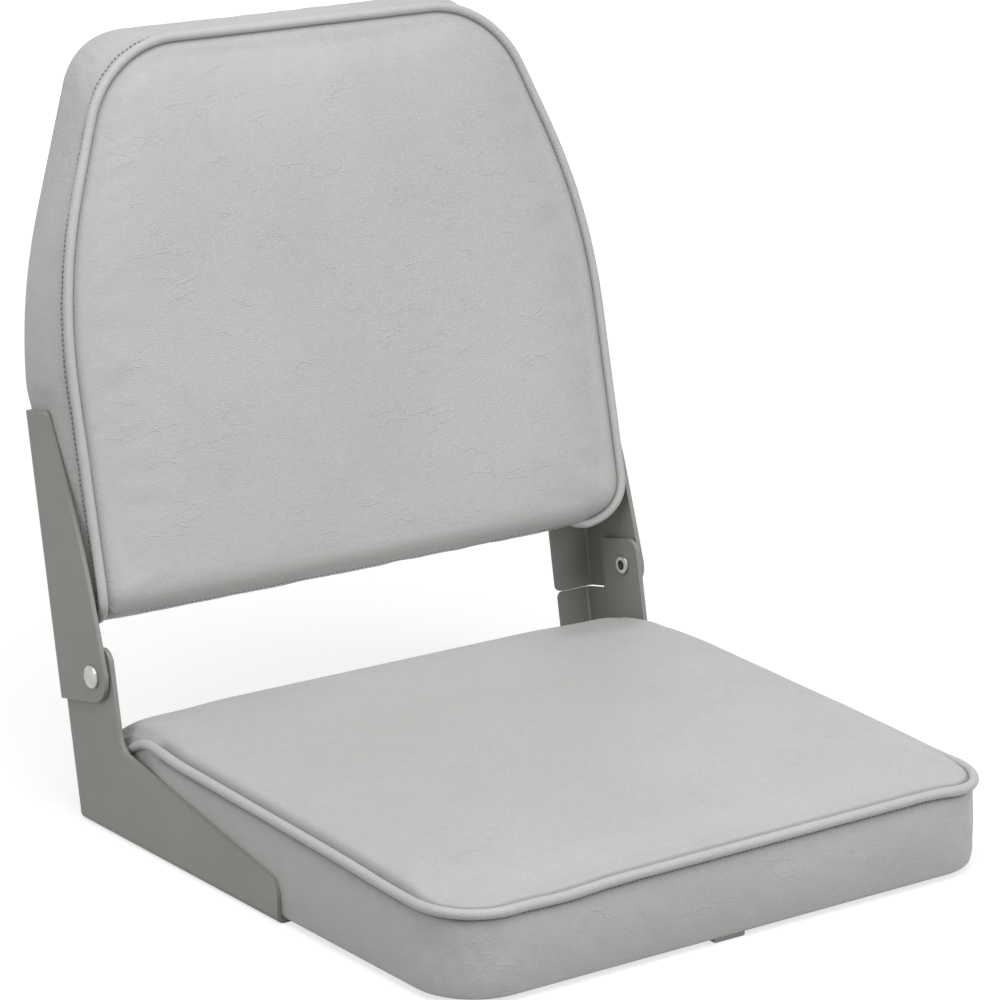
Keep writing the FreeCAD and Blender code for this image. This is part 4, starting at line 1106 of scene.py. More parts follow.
        # Painted shade along the piped seam. It darkens the top panel where it rises from behind the piping, adds a
        # thin darker line just past that, and darkens the side band just under the piping. All of it fades out behind
        # the sewn part and stands in for the shadow in these crevices.
        shade = np.zeros(len(mesh.vertices))
        rear_fade = 1.0 - smooth_step(0.105, 0.120, grid[:, 1])
        line = 0.75 * (1.0 - smooth_step(0.0022, 0.0040, off_seam))
        shade[:top_count] = np.maximum(np.exp(-off_seam / 0.0016), line) * rear_fade
        for ring, share in zip(wall_rings[:5], (1.0, 1.0, 0.8, 0.2, 0.03)):
            shade[ring] = share * (1.0 - smooth_step(0.105, 0.120, form.places[ring][:, 1]))
        set_mask(mesh, "seam", shade)
        subdivided(piece)
        self.piece = piece
        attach(piece, Body.SEAT.value)
        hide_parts("seat_foam", "seat_top_cover", "seat_boxing")
        return piece

    def _fall_at(self, y: float) -> float:
        """Share of the height that is left where the rear roll reaches a place."""
        share = (y - self.roll_start) / (self.rear - self.roll_start)
        return (1.0 - share ** self.roll_power) ** (1.0 / self.roll_power)

    def _spread(self, z: np.ndarray, crest: np.ndarray) -> np.ndarray:
        """How far back the rear roll is at a height, as a share of its depth."""
        level = np.clip((z - self.roll_floor) / (crest - self.roll_floor), 0.0, 1.0)
        return (1.0 - level ** self.roll_power) ** (1.0 / self.roll_power)

    def _gathers(self, hem: np.ndarray) -> np.ndarray:
        """Depth of the folds where the hem is gathered round the front corners."""
        corner = np.array([[-self.half, self.front], [self.half, self.front]])
        near = np.min([np.linalg.norm(hem - c, axis=1) for c in corner], axis=0)
        angle = np.arctan2(hem[:, 1] + 0.10, np.abs(hem[:, 0]) - 0.10)
        return 0.0009 * (1.0 - smooth_step(0.050, 0.085, near)) * (0.5 + 0.5 * np.cos(angle * 60.0))

    def _stuff(self, piece: bpy.types.Object, off_seam: np.ndarray, top: int, walls: list[np.ndarray], held: np.ndarray) -> None:
        mesh = piece.data
        slack = np.zeros(len(mesh.vertices))
        slack[:top] = self.slack * smooth_step(0.0, 0.030, off_seam)
        for k, ring in enumerate(walls[:-1]):
            share = (k + 1) / len(walls)
            slack[ring] = 0.5 * self.slack * 4.0 * share * (1.0 - share)
        set_places(mesh, places_of(mesh) - normals_of(mesh) * slack[:, None])
        self.stuffing.fill(piece, held, slack * 1.12)

    def _press(self, mesh: bpy.types.Mesh) -> None:
        """Keep the sides between the bracket plates."""
        places = places_of(mesh)
        beside = places[:, 1] > self.plate_front
        places[beside, 0] = np.clip(places[beside, 0], -self.plate_inside, self.plate_inside)
        set_places(mesh, places)

    def _pucker(self, piece: bpy.types.Object, walls: list[np.ndarray]) -> None:
        """Draw the band in below the seam in short uneven tucks, most of all at the front corners."""
        mesh = piece.data
        places, normals = places_of(mesh), normals_of(mesh)
        chance = np.random.default_rng(SEED)
        ring = places[walls[0]]
        steps = np.linalg.norm(np.diff(np.vstack([ring, ring[:1]]), axis=0), axis=1)
        run = np.concatenate([[0.0], np.cumsum(steps)[:-1]])
        corner = np.min([np.linalg.norm(ring[:, :2] - np.array(c), axis=1) for c in ((-self.half, self.front), (self.half, self.front))], axis=0)
        strength = 0.25 + 0.75 * (1.0 - smooth_step(0.030, 0.075, corner))
        strength *= 1.0 - smooth_step(0.04, 0.09, ring[:, 1])
        for centre in np.arange(0.0, run[-1], 0.011):
            middle = centre + chance.uniform(-0.004, 0.004)
            width = chance.uniform(0.0022, 0.0042)
            depth = chance.uniform(0.1, 1.0) ** 2 * 0.0011
            length = chance.uniform(0.15, 0.5)
            lean = chance.uniform(-0.006, 0.006)
            for k, wall in enumerate(walls[1:-2]):
                share = (k + 1) / len(walls)
                fade = math.exp(-share / length) * min(1.0, 3.0 * share + 0.3)
                tuck = np.exp(-(((run - middle - lean * share) / width) ** 2))
                places[wall] -= normals[wall] * (depth * fade * strength * tuck)[:, None]
        set_places(mesh, places)

    def welt_path(self) -> np.ndarray:
        """Middle of the piping, from the left rear foot round the front to the right rear foot."""
        seam = self.seam_line(self.neck_ring)
        flat = self.seam_line(np.column_stack([ring_outward(self.neck_ring[:, :2]), self.neck_ring[:, :2]]))
        line = seam + np.column_stack([flat[:, :2] * self.welt_offset, np.zeros(len(seam))])
        sewn = line[seam[:, 1] < self.seam_end]
        right = seam[seam[:, 0] > 0.15]
        order = np.argsort(right[:, 1])
        angles = np.linspace(0.0, math.pi / 2, 12)[1:]
        y = self.seam_end + self.seam_drop * np.sin(angles)
        z = sewn[-1, 2] - self.seam_drop * (1.0 - np.cos(angles))
        y, z = np.append(y, y[-1]), np.append(z, 0.006)
        x = np.interp(y, right[order, 1], right[order, 0]) + self.welt_offset
        drop = np.column_stack([x, y, z])
        path = np.vstack([drop[::-1] * (-1.0, 1.0, 1.0), sewn, drop])
        return evenly_along(path, 0.0028)


@dataclass
class BackCushion:
    """Back cushion: crowned front panel, side band with a piped seam, lower edge wrapped under, flat rear panel."""

    wide: float = 0.203
    bottom: float = 0.044
    top: float = 0.3965
    neck_side: float = 0.0106
    neck_shoulder: float = 0.0055
    neck_drop: float = 0.011
    neck_lift: float = 0.006
    rear_inset: float = 0.0015
    lean: float = math.radians(21.0)
    shoulder_start: float = 0.236
    shoulder_radius: float = 0.330
    top_radius: float = 0.0665
    rear_top_radius: float = 0.042
    left_radius: float = 0.012
    right_radius: float = 0.026
    neck_forward: float = 0.04957
    neck_slope: float = 0.0365
    crown: float = 0.0105
    crown_reach: float = 0.075
    edge_puff: float = 0.30
    edge_reach: float = 0.0030
    roll_start: float = 0.070
    roll_floor: float = 0.020
    roll_power: float = 2.5
    rear_face: float = 0.00312
    rear_round: float = 0.0022
    rear_pillow: float = 0.0018
    plate_inside: float = 0.1993
    plate_top: float = 0.176
    seam_end: float = 0.168
    welt_radius: float = 0.003
    welt_offset: float = 0.0026
    slack: float = 0.003
    stuffing: Stuffing = field(default_factory=Stuffing)

    def __post_init__(self) -> None:
        """Set out the grid."""
        self.form = PaddedMesh(eased_shares(64, 0.62), eased_shares(64, 0.62))
        self.neck_ring = np.zeros((0, 3))
        self.piece: bpy.types.Object | None = None

    @property
    def middle(self) -> float:
        """Height of the middle of the cushion up the back."""
        return 0.5 * (self.bottom + self.top)

    def outline(self, side: float, shoulder: float, drop: float, lift: float, turn: float) -> Outline:
        """Outline of the cushion, drawn in by the given amounts, with its top corners turned at a radius."""
        half, crest = self.wide - side, self.top - drop
        line = self.wide * math.cos(self.lean) + self.shoulder_start * math.sin(self.lean) - shoulder
        knee = (line - half * math.cos(self.lean)) / math.sin(self.lean)
        crest_x = (line - crest * math.sin(self.lean)) / math.cos(self.lean)
        low = self.bottom + lift
        shoulder_turn = self.shoulder_radius - shoulder
        corners = (
            (-half, low, self.left_radius), (half, low, self.right_radius),
            (half, knee, shoulder_turn), (crest_x, crest, turn),
            (-crest_x, crest, turn), (-half, knee, shoulder_turn),
        )
        return Outline(corners, (0, 1, 3, 4))

    def neck_depth(self, up: np.ndarray) -> np.ndarray:
        """Distance of the piped seam forward of the flanges."""
        return self.neck_forward - self.neck_slope * (up - self.middle)

    def rolled(self, depth: np.ndarray, up: np.ndarray) -> np.ndarray:
        """Depth after the lower edge rolls under."""
        share = np.clip((self.roll_start - up) / (self.roll_start - self.bottom), 0.0, 1.0)
        fall = (1.0 - share ** self.roll_power) ** (1.0 / self.roll_power)
        return self.roll_floor + (depth - self.roll_floor) * fall

    def pressed(self, flat: np.ndarray) -> np.ndarray:
        """Keep the sides between the bracket plates, swelling out above them."""
        limit = self.plate_inside + 0.0037 * smooth_step(self.plate_top, self.plate_top + 0.012, flat[:, 1])
        return np.column_stack([np.clip(flat[:, 0], -limit, limit), flat[:, 1]])

    def seam_line(self, ring: np.ndarray) -> np.ndarray:
        """The part of the neck ring that is sewn: up the right side, over the top and down the left side."""
        n = self.form.columns
        turned = np.vstack([ring[n // 2:], ring[:n // 2 + 1]])
        sewn = (turned[:, 0] > self.seam_end) | (turned[:, 1] > self.bottom + 0.012)
        return turned[sewn]

    def build(self, finishes: Finishes) -> bpy.types.Object:
        """Make the cushion's mesh, stuff it and dress it."""
        form = self.form
        neck = self.outline(self.neck_side, self.neck_shoulder, self.neck_drop, self.neck_lift, self.top_radius)
        plan = neck.ring(form.across, form.along)
        seam = self.seam_line(plan)
        grid = form.grid_on(plan)
        off_seam = distance_to_line(grid, seam)
        rise = 1.0 - np.clip(1.0 - off_seam / self.crown_reach, 0.0, 1.0) ** 2
        puff = 1.0 - np.exp(-np.maximum(off_seam - 0.0008, 0.0) / self.edge_reach)
        dome = self.crown * ((1.0 - self.edge_puff) * rise + self.edge_puff * puff)
        depth = self.rolled(self.neck_depth(grid[:, 1]) + dome, grid[:, 1])
        rim = form.add_grid(np.column_stack([grid, depth]), True)
        top_count = len(form.places)
        self.neck_ring = form.places[rim]
        above = rim
        walls = []
        for share in (0.025, 0.06, 0.11, 0.18, 0.27, 0.37, 0.48, 0.60, 0.72, 0.85, 0.955):
            insets = [self._inset(share, amount) for amount in (self.neck_side, self.neck_shoulder, self.neck_drop, self.neck_lift)]
            turn = self.top_radius + (self.rear_top_radius - self.top_radius) * share
            flat = self.pressed(self.outline(*insets, turn).ring(form.across, form.along))
            forward = self.neck_ring[:, 2] * (1.0 - share) + self.rear_face * share
            above = form.add_ring(np.column_stack([flat, forward]), above)
            walls.append(above)
        edge = form.places[above]
        held = [rim, above]
        inward = -ring_outward(edge[:, :2])
        for turn in (0.5, 1.0):
            angle = turn * math.pi / 2
            flat = edge[:, :2] + inward * (self.rear_round * (1.0 - math.cos(angle)))
            forward = edge[:, 2] + (self.rear_face - edge[:, 2]) * math.sin(angle)
            above = form.add_ring(np.column_stack([flat, forward]), above)
            held.append(above)
        rear = form.grid_on(form.places[above][:, :2])
        pillow = self.rear_pillow * (1.0 - smooth_step(0.10, 0.165, np.abs(rear[:, 0])))
        pillow *= smooth_step(self.bottom + 0.004, self.bottom + 0.06, rear[:, 1])
        pillow *= 1.0 - smooth_step(self.top - 0.07, self.top - 0.008, rear[:, 1])
        first_rear = len(form.places)
        rear_rim = form.add_grid(np.column_stack([rear, self.rear_face - pillow]), False)
        mesh = mesh_of("back_cushion", LEANING.places(form.places), self._welded(above, rear_rim))
        piece = linked(mesh, "back_cushion")
        mesh.materials.append(finishes.vinyl)
        held.append(np.arange(first_rear, len(form.places)))
        off_rim = distance_to_line(grid, np.vstack([plan, plan[:1]]))
        self._stuff(piece, off_rim, top_count, walls, np.concatenate(held))
        self._pucker(piece, walls)
        # Painted shade along the piped seam. It darkens the front panel next to the piping and the first rings of the
        # side band, where the crevices beside the piping are in shadow.
        shade = np.zeros(len(mesh.vertices))
        shade[:top_count] = np.exp(-off_seam / 0.0016)
        sewn = np.exp(-distance_to_line(plan, seam) / 0.004)
        for ring, share in zip(walls[:4], (1.0, 0.95, 0.45, 0.04)):
            shade[ring] = share * sewn
        set_mask(mesh, "seam", shade)
        self._drop_loose(mesh)
        subdivided(piece)
        self.piece = piece
        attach(piece, Body.BACK.value)
        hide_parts("back_foam", "back_front_cover", "back_boxing", "back_rear_panel")
        return piece

    def _inset(self, share: float, neck: float) -> float:
        """How far a wall ring is drawn in, from the seam through the fullest place to the rear edge."""
        bend = 2.0 * neck + 2.0 * self.rear_inset
        slope = self.rear_inset - neck - bend
        return neck + slope * share + bend * share * share

    def _welded(self, ring: np.ndarray, rim: np.ndarray) -> list[tuple[int, ...]]:
        """Faces with the rear grid's rim drawn onto the last wall ring."""
        swap = dict(zip(rim.tolist(), ring.tolist()))
        return [tuple(swap.get(int(i), int(i)) for i in face) for face in self.form.faces]

    @staticmethod
    def _drop_loose(mesh: bpy.types.Mesh) -> None:
        """Remove the vertices that no face uses."""
        work = bmesh.new()
        work.from_mesh(mesh)
        loose = [v for v in work.verts if not v.link_faces]
        bmesh.ops.delete(work, geom=loose, context="VERTS")
        work.to_mesh(mesh)
        work.free()
        mesh.update()

    def _stuff(self, piece: bpy.types.Object, off_seam: np.ndarray, top: int, walls: list[np.ndarray], held: np.ndarray) -> None:
        mesh = piece.data
        slack = np.zeros(len(mesh.vertices))
        slack[:top] = self.slack * smooth_step(0.0, 0.030, off_seam)
        slack[:top] *= smooth_step(self.bottom + 0.008, self.bottom + 0.065, self.form.places[:top, 1])
        for k, ring in enumerate(walls[:-1]):
            share = (k + 1) / len(walls)
            slack[ring] = 0.5 * self.slack * 4.0 * share * (1.0 - share)
        set_places(mesh, places_of(mesh) - normals_of(mesh) * slack[:, None])
        self.stuffing.fill(piece, held, slack * 1.12)
        places = places_of(mesh)
        local_up = (places - LEANING.places(np.zeros((1, 3)))) @ LEANING.upward
        flat = self.pressed(np.column_stack([places[:, 0], local_up]))
        places[:, 0] = flat[:, 0]
        set_places(mesh, places)

    def _pucker(self, piece: bpy.types.Object, walls: list[np.ndarray]) -> None:
        """Draw the band in behind the seam in short uneven tucks, most of all round the top corners."""
        mesh = piece.data
        places, normals = places_of(mesh), normals_of(mesh)
        chance = np.random.default_rng(SEED + 1)
        ring = self.form.places[walls[0]]
        steps = np.linalg.norm(np.diff(np.vstack([ring, ring[:1]]), axis=0), axis=1)
        run = np.concatenate([[0.0], np.cumsum(steps)[:-1]])
        high = smooth_step(0.26, 0.34, ring[:, 1]) * smooth_step(0.05, 0.11, np.abs(ring[:, 0]))
        strength = (0.18 + 0.35 * high) * smooth_step(self.bottom + 0.02, self.bottom + 0.05, ring[:, 1])
        for centre in np.arange(0.0, run[-1], 0.012):
            middle = centre + chance.uniform(-0.004, 0.004)
            width = chance.uniform(0.0024, 0.0046)
            depth = chance.uniform(0.1, 1.0) ** 2 * 0.0011
            length = chance.uniform(0.15, 0.5)
            lean = chance.uniform(-0.006, 0.006)
            for k, wall in enumerate(walls[1:-2]):
                share = (k + 1) / len(walls)
                fade = math.exp(-share / length) * min(1.0, 3.0 * share + 0.3)
                tuck = np.exp(-(((run - middle - lean * share) / width) ** 2))
                places[wall] -= normals[wall] * (depth * fade * strength * tuck)[:, None]
        set_places(mesh, places)

    def welt_path(self) -> np.ndarray:
        """Middle of the piping, from the lower right corner over the top to the lower left corner."""
        outward = ring_outward(self.neck_ring[:, :2])
        line = self.neck_ring + np.column_stack([outward * self.welt_offset, np.zeros(len(outward))])
        sewn = self.seam_line(line)
        right_tail = sewn[0] + np.array([(-0.016, 0.010, -0.012), (-0.007, 0.0015, -0.003)])
        left_steps = ((0.0005, -0.004, -0.003), (0.0015, -0.0075, -0.008), (0.003, -0.0092, -0.013), (0.006, -0.007, -0.020))
        left_tail = sewn[-1] + np.array(left_steps)
        return LEANING.places(evenly_along(np.vstack([right_tail, sewn, left_tail]), 0.0028))


@dataclass(frozen=True)
class Piping:
    """Round welt of vinyl over cord, slightly uneven, as sewn into a seam."""

    radius: float = 0.003
    segments: int = 14
    unevenness: float = 0.035

    def build(self, name: str, path: np.ndarray, body: Body, node: str, finishes: Finishes) -> bpy.types.Object:
        """Sweep the welt along its path and dress it."""
        chance = np.random.default_rng(SEED + 2)
        rough = chance.normal(0.0, 1.0, len(path))
        soft = np.convolve(rough, np.hanning(9) / np.hanning(9).sum(), mode="same")
        mesh = swept_round(name, path, self.radius * (1.0 + self.unevenness * soft), self.segments)
        mesh.materials.append(finishes.piping)
        piece = linked(mesh, name)
        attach(piece, body.value)
        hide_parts(node)
        return piece


@dataclass
class SeamStitching:
    """Rows of stitches along the piped seams and the wrapped lower edge of the back. The rows beside the piping are
    partly real stitching and partly painted shade: their dark thread lies in the seam crevices and draws the shadow
    there.
    """

    pitch: float = 0.0031
    length: float = 0.0021
    thread: float = 0.0011
    lower_thread: float = 0.00085
    seat_drop: float = 0.0041
    back_drop: float = 0.0072
    lower_half: float = 0.168
    lower_lift: float = 0.006

    def __post_init__(self) -> None:
        """Build the tree that lays the stitches."""
        self.tree = StitchTree()

    def row(
        self, name: str, cushion: bpy.types.Object, line: np.ndarray, inward: np.ndarray, body: Body, finishes: Finishes
    ) -> bpy.types.Object:
        """Lay one row of stitches on a cushion.

        Args:
            name: Name of the row.
            cushion: The cushion that is sewn.
            line: Places along the row, near the surface.
            inward: Direction from outside into the cushion at each place.
            body: Body that the row rides on.
            finishes: The materials.

        Returns:
            The row as one piece.
        """
        surface = BVHTree.FromObject(cushion, bpy.context.evaluated_depsgraph_get())
        places, normals = cushion_rays(surface, line, inward, 0.02)
        along = np.gradient(places, axis=0)
        along /= np.linalg.norm(along, axis=1)[:, None]
        thread = self.lower_thread if "lower" in name else self.thread
        values = {"Length": self.length, "Thread": thread, "Unevenness": 0.12, "Seed": SEED, "Material": finishes.thread}
        piece = self.tree.placed(name, places + normals * (0.1 * thread), normals, along, values)
        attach(piece, body.value)
        return piece

    def build(self, seat: SeatCushion, back: BackCushion, finishes: Finishes) -> list[bpy.types.Object]:
        """Lay the row under the seat's piping, the row behind the back's piping and the row of the wrapped edge."""
        # The seat's row sits just under the piping and the back's row just behind it. With their dark thread, both also
        # paint the shadow in those crevices.
        ring = seat.seam_line(seat.neck_ring)
        line = evenly_along(ring[ring[:, 1] < seat.seam_end], self.pitch)
        run = np.gradient(line[:, :2], axis=0)
        run /= np.linalg.norm(run, axis=1)[:, None]
        inward = np.column_stack([-run[:, 1], run[:, 0], np.zeros(len(run))])
        line = line - (0.0, 0.0, self.seat_drop)
        rows = [self.row("seat_seam_stitches", seat.piece, line, inward, Body.SEAT, finishes)]
        line = evenly_along(back.seam_line(back.neck_ring), self.pitch)
        run = np.gradient(line[:, :2], axis=0)
        run /= np.linalg.norm(run, axis=1)[:, None]
        inward = np.outer(-run[:, 1], (1.0, 0.0, 0.0)) + np.outer(run[:, 0], LEANING.upward)
        line = LEANING.places(line - (0.0, 0.0, self.back_drop))
        rows.append(self.row("back_seam_stitches", back.piece, line, inward, Body.BACK, finishes))
        across = np.arange(-self.lower_half, self.lower_half, self.pitch)
        level = np.full(len(across), back.bottom + self.lower_lift)
        line = LEANING.places(np.column_stack([across, level, np.full(len(across), back.neck_forward)]))
        inward = np.tile(-LEANING.forward, (len(line), 1))
        rows.append(self.row("back_lower_stitches", back.piece, line, inward, Body.BACK, finishes))
        return rows


class HeadKind(Enum):
    """Kinds of screw head."""

    PAN = "pan"
    COUNTERSUNK = "countersunk"


@dataclass
class Fasteners:
    """Screws with a cross recess, and wire staples."""

    screw_radius: float = 0.0024
    head_radius: float = 0.0047
    pan_height: float = 0.0026
    staple_crown: float = 0.010
    staple_wire: float = 0.00075

    def __post_init__(self) -> None:
        """Build the tree that sets the fasteners."""
        self.tree = FastenerTree()

    def screw(self, kind: HeadKind, length: float) -> bpy.types.Object:
        """Screw whose shank runs down from its seat at the origin, with a cross cut into its head."""
        head, shank = self.head_radius, self.screw_radius
        if kind is HeadKind.PAN:
            tall = self.pan_height
            profile = [(0.0, tall), (0.45 * head, 0.97 * tall), (0.78 * head, 0.8 * tall), (0.96 * head, 0.5 * tall), (head, 0.12 * tall), (0.97 * head, 0.0), (shank, 0.0)]
        else:
            tall = 0.0
            profile = [(0.0, 0.0), (0.97 * head, 0.0), (head, -0.0001), (shank, shank - head)]
        profile += [(shank, 0.0015 - length), (0.5 * shank, -length), (0.0, -length)]
        body = self._turned("screw_form", profile, 24)
        cutter = self._cross(tall)
        cut = body.modifiers.new("recess", "BOOLEAN")
        cut.operation = "DIFFERENCE"
        cut.solver = "EXACT"
        cut.use_self = True
        cut.object = cutter
        bpy.context.view_layer.update()
        shaped = bpy.data.meshes.new_from_object(body.evaluated_get(bpy.context.evaluated_depsgraph_get()))
        body.modifiers.remove(cut)
        body.data = shaped
        bpy.data.objects.remove(cutter)
        return body

    def staple(self) -> bpy.types.Object:
        """Staple crown lying along X, with both ends bent down."""
        half, wire = self.staple_crown / 2, self.staple_wire
        path = [(-half, -0.0018), (-half, -0.0003), (-0.93 * half, 0.2 * wire), (0.93 * half, 0.2 * wire), (half, -0.0003), (half, -0.0018)]
        line = np.array([(x, 0.0, z) for x, z in path])
        return linked(swept_round("staple_form", line, np.full(len(line), wire / 2), 6), "staple_form")

    @staticmethod
    def _turned(name: str, profile: Sequence[tuple[float, float]], segments: int) -> bpy.types.Object:
        """Solid turned about Z from a profile of (radius, height) that starts and ends on the axis."""
        work = bmesh.new()
        points = [work.verts.new((radius, 0.0, height)) for radius, height in profile]
        edges = [work.edges.new((a, b)) for a, b in zip(points, points[1:])]
        bmesh.ops.spin(work, geom=points + edges, cent=(0, 0, 0), axis=(0, 0, 1), angle=2 * math.pi, steps=segments, use_duplicate=False)
        bmesh.ops.remove_doubles(work, verts=work.verts, dist=1e-6)
        bmesh.ops.recalc_face_normals(work, faces=work.faces)
        mesh = bpy.data.meshes.new(name)
        work.to_mesh(mesh)
        work.free()
        return linked(mesh, name)

    def _cross(self, top: float) -> bpy.types.Object:
        """Cross-shaped cutter for the recess in a head."""
        work = bmesh.new()
        long, wide, deep = 1.15 * self.head_radius, 0.0011, 0.0017
        for turn in (0.0, math.pi / 2):
            made = bmesh.ops.create_cube(work, size=1.0)["verts"]
            for vertex in made:
                taper = 1.0 if vertex.co.z > 0 else 0.55
                x, y = vertex.co.x * long * taper, vertex.co.y * wide * (1.0 if vertex.co.z > 0 else 0.8)
                z = top + (0.0006 if vertex.co.z > 0 else -deep)
                vertex.co = (x * math.cos(turn) - y * math.sin(turn), x * math.sin(turn) + y * math.cos(turn), z)
        mesh = bpy.data.meshes.new("recess_form")
        work.to_mesh(mesh)
        work.free()
        return linked(mesh, "recess_form")

    def place(self, name: str, form: bpy.types.Object, places: np.ndarray, facing: np.ndarray, along: np.ndarray, turn: float, body: Body, node: str, finishes: Finishes) -> bpy.types.Object:
        """Set copies of one form and let them stand for a node of the part."""
        count = len(places)
        values = {"Form": form, "Size": 1.0, "Turn": turn, "Seed": SEED, "Material": finishes.steel}
        piece = self.tree.placed(name, places, np.tile(facing, (count, 1)), np.tile(along, (count, 1)), values)
        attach(piece, body.value)
        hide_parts(node)
        return piece

    def build(self, finishes: Finishes) -> list[bpy.types.Object]:
        """Set the screws of the brackets and of the front strip, and the staples of both hems."""
        down, across, ahead = np.array([0.0, 0.0, -1.0]), np.array([1.0, 0.0, 0.0]), np.array([0.0, 1.0, 0.0])
        made = []
        sunk = self.screw(HeadKind.COUNTERSUNK, 0.0155)
        low = -0.004
        flange = np.array([(side.value * 0.1783, y, low) for side in Side for y in (0.0, 0.075, 0.150)])
        made.append(self.place("flange_screws", sunk, flange, down, across, 0.7, Body.SEAT, "seat_bracket_screws", finishes))
        strip = np.array([(-0.005, y, low) for y in (-0.1785, -0.1465)])
        made.append(self.place("strip_screws", sunk, strip, down, across, 0.7, Body.SEAT, "front_strip_screws", finishes))
        pan = self.screw(HeadKind.PAN, 0.0135)
        backs = np.array([(side.value * 0.186, up, 0.0) for side in Side for up in (0.066, 0.113, 0.160)])
        made.append(self.place("back_screws", pan, LEANING.places(backs), -LEANING.forward, across, 0.7, Body.BACK, "back_bracket_screws", finishes))
        bent = self.staple()
        made.append(self._hem_staples(bent, "seat_staples", "seat_hem_staples", -0.0011, down, Body.SEAT, finishes))
        made.append(self._hem_staples(bent, "back_staples", "back_hem_staples", 0.0, -LEANING.forward, Body.BACK, finishes))
        for form in (sunk, pan, bent):
            bpy.data.objects.remove(form)
        return made

    def _hem_staples(self, form: bpy.types.Object, node: str, name: str, level: float, facing: np.ndarray, body: Body, finishes: Finishes) -> bpy.types.Object:
        """Staples where the part has them, lying along the hem."""
        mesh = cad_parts[node].data
        places = places_of(mesh)
        work = bmesh.new()
        work.from_mesh(mesh)
        bmesh.ops.remove_doubles(work, verts=work.verts, dist=1e-6)
        centres, runs = [], []
        seen: set[int] = set()
        for vertex in work.verts:
            if vertex.index in seen:
                continue
            stack, island = [vertex], []
            seen.add(vertex.index)
            while stack:
                here = stack.pop()
                island.append(np.array(here.co))
                for edge in here.link_edges:
                    other = edge.other_vert(here)
                    if other.index not in seen:
                        seen.add(other.index)
                        stack.append(other)
            points = np.array(island)
            out = points @ facing
            crown = points[out > out.max() - 0.001]
            middle = 0.5 * (crown.min(0) + crown.max(0))
            middle += facing * (out.max() - middle @ facing - 0.3 * self.staple_wire)
            spread = crown.max(0) - crown.min(0)
            centres.append(middle)
            runs.append(np.array([1.0, 0.0, 0.0]) if spread[0] > 0.004 else np.array([0.0, 1.0, 0.0]))
        work.free()
        count = len(centres)
        LOG.info("%s: %d staples from %d vertices", name, count, len(places))
        values = {"Form": form, "Size": 1.0, "Turn": 0.12, "Seed": SEED, "Material": finishes.steel}
        piece = self.tree.placed(name, np.array(centres), np.tile(facing, (count, 1)), np.array(runs), values)
        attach(piece, body.value)
        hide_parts(node)
        return piece


@dataclass(frozen=True)
class Hardware:
    """Nodes of the part that keep their own shape and get a finish; the painted sheet pieces also get softened edges.
    """

    edge: float = 0.00045

    def dress(self, finishes: Finishes) -> None:
        """Give every carried-over node its material."""
        groups: dict[tuple[str, ...], bpy.types.Material] = {
            ("seat_bracket_left", "seat_bracket_right", "back_bracket_left", "back_bracket_right", "front_rest_strip"): finishes.paint,
            ("pivot_rivet_left", "pivot_rivet_right", "pedestal_tee_nuts", "seat_bracket_tee_nuts", "back_tee_nuts"): finishes.steel,
            ("seat_board", "back_board"): finishes.plywood,
            ("pivot_washer_left", "pivot_washer_right"): finishes.nylon,
        }
        for names, material in groups.items():
            for name in names:
                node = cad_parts[name]
                node.data.materials.clear()
                node.data.materials.append(material)
                LOG.info("%s keeps its shape", name)
        for name in next(iter(groups)):
            self._soften(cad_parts[name])

    def _soften(self, node: bpy.types.Object) -> None:
        """Round the sheared edges of a sheet piece a little."""
        weld = node.modifiers.new("merged", "WELD")
        weld.merge_threshold = 1e-6
        flat = node.modifiers.new("whole_faces", "DECIMATE")
        flat.decimate_type = "DISSOLVE"
        flat.angle_limit = math.radians(0.5)
        bevel = node.modifiers.new("broken_edges", "BEVEL")
        bevel.width = self.edge
        bevel.segments = 2
        bevel.limit_method = "ANGLE"
        bevel.angle_limit = math.radians(40.0)
        bevel.harden_normals = True


# Studio

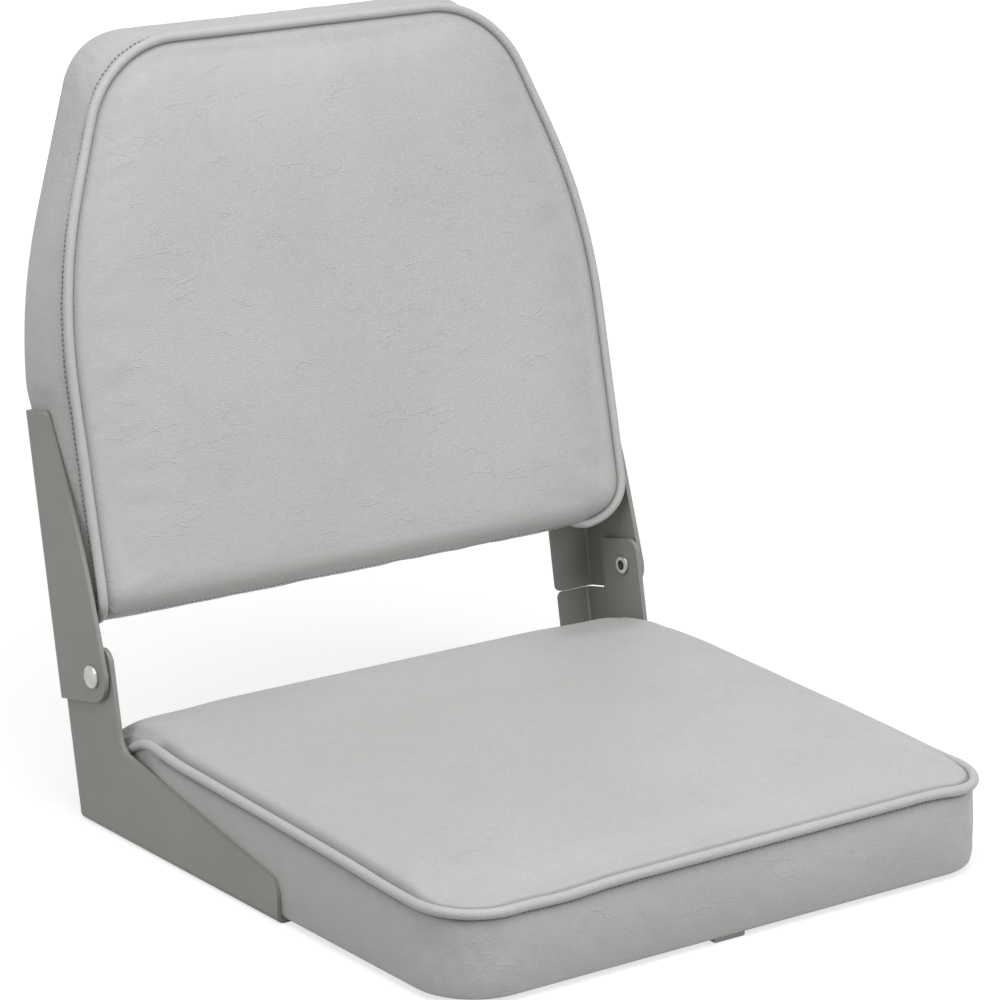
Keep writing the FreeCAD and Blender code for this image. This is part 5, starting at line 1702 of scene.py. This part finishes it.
@dataclass(frozen=True)
class Studio:
    """Pale floor, soft lamps and the camera at the photograph's angle."""

    camera_place: tuple[float, float, float] = (-1.4410, -1.9532, 0.8916)
    camera_forward: tuple[float, float, float] = (0.5649, 0.7795, -0.2708)
    lens: float = 154.8
    floor_level: float = -0.0041
    floor_colour: Colour = (0.42, 0.42, 0.42, 1.0)
    near_glow: float = 0.70
    far_glow: float = 1.0
    sky: float = 0.37

    def build(self) -> None:
        """Set up the camera, floor, sky and lamps."""
        self._camera()
        self._floor()
        self._sky()
        aim = Vector((0.0, 0.03, 0.20))
        self._lamp("overhead_softbox", (-0.42, -0.60, 2.15), aim, 1.7, 33.0)
        self._lamp("front_softbox", (0.9, -2.3, 1.2), aim, 1.5, 20.0)
        self._lamp("left_fill", (-2.4, 0.2, 1.1), aim, 1.4, 9.0)
        bpy.context.scene.view_settings.view_transform = "Standard"

    def _camera(self) -> None:
        """Make the camera."""
        data = bpy.data.cameras.new("photo_camera")
        data.lens = self.lens
        data.sensor_width = 36.0
        camera = bpy.data.objects.new("photo_camera", data)
        bpy.context.scene.collection.objects.link(camera)
        camera.location = self.camera_place
        camera.rotation_mode = "QUATERNION"
        camera.rotation_quaternion = Vector(self.camera_forward).to_track_quat("-Z", "Y")
        bpy.context.scene.camera = camera

    def _floor(self) -> None:
        """Make the floor, white to the eye but still holding the shadow."""
        reach = 14.0
        corners = np.array([(x, y, self.floor_level) for x, y in ((-reach, -reach), (reach, -reach), (reach, reach), (-reach, reach))])
        floor = linked(mesh_of("studio_floor", corners, [(0, 1, 2, 3)], smooth=False), "studio_floor")
        material = bpy.data.materials.new("studio_paper")
        material.use_nodes = True
        tree = material.node_tree
        tree.nodes.clear()
        b = Board(tree)
        paper = b.add("ShaderNodeBsdfDiffuse", {"Color": self.floor_colour})
        path = b.add("ShaderNodeLightPath")
        seen = b.math("MAXIMUM", path.outputs["Is Camera Ray"], b.math("MAXIMUM", path.outputs["Is Glossy Ray"], path.outputs["Is Transmission Ray"]))
        place = b.add("ShaderNodeTexCoord").outputs["Object"]
        away = b.add("ShaderNodeVectorMath", {0: place}, operation="LENGTH").outputs["Value"]
        lift = b.span(away, 0.5, 3.0, self.near_glow, self.far_glow)
        glow = b.add("ShaderNodeEmission", {"Color": (1.0, 1.0, 1.0, 1.0), "Strength": b.math("MULTIPLY", seen, lift)})
        both = b.add("ShaderNodeAddShader", {0: paper.outputs[0], 1: glow.outputs[0]})
        b.join(both.outputs[0], b.add("ShaderNodeOutputMaterial").inputs["Surface"])
        floor.data.materials.append(material)

    def _sky(self) -> None:
        """Make the even white surroundings."""
        world = bpy.data.worlds.new("studio_surroundings")
        world.use_nodes = True
        tree = world.node_tree
        tree.nodes.clear()
        b = Board(tree)
        path = b.add("ShaderNodeLightPath")
        seen = b.math("MAXIMUM", path.outputs["Is Camera Ray"], b.math("MAXIMUM", path.outputs["Is Glossy Ray"], path.outputs["Is Transmission Ray"]))
        strength = b.math("ADD", self.sky, b.math("MULTIPLY", seen, 1.0 - self.sky))
        glow = b.add("ShaderNodeBackground", {"Color": (1.0, 1.0, 1.0, 1.0), "Strength": strength})
        b.join(glow.outputs[0], b.add("ShaderNodeOutputWorld").inputs["Surface"])
        bpy.context.scene.world = world

    @staticmethod
    def _lamp(name: str, place: tuple[float, float, float], aim: Vector, size: float, power: float) -> None:
        """Make one square soft lamp that points at the seat."""
        data = bpy.data.lights.new(name, "AREA")
        data.shape = "SQUARE"
        data.size = size
        data.energy = power
        lamp = bpy.data.objects.new(name, data)
        bpy.context.scene.collection.objects.link(lamp)
        lamp.location = place
        lamp.rotation_mode = "QUATERNION"
        lamp.rotation_quaternion = (aim - Vector(place)).to_track_quat("-Z", "Y")


def note_sizes() -> None:
    """Bring the scene's evaluated state up to date."""
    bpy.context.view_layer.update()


def main() -> None:
    """Build each sub-assembly in order and report its pieces."""
    logging.basicConfig(level=logging.INFO, format="%(name)s: %(message)s")
    Studio().build()
    finishes = Finishes.made()
    seat = SeatCushion()
    LOG.info("made %s", seat.build(finishes).name)
    back = BackCushion()
    LOG.info("made %s", back.build(finishes).name)
    piping = Piping()
    LOG.info("made %s", piping.build("seat_piping", seat.welt_path(), Body.SEAT, "seat_welt", finishes).name)
    LOG.info("made %s", piping.build("back_piping", back.welt_path(), Body.BACK, "back_welt", finishes).name)
    for piece in SeamStitching().build(seat, back, finishes):
        LOG.info("made %s", piece.name)
    for piece in Fasteners().build(finishes):
        LOG.info("made %s", piece.name)
    Hardware().dress(finishes)
    note_sizes()


if __name__ == "__main__":
    main()
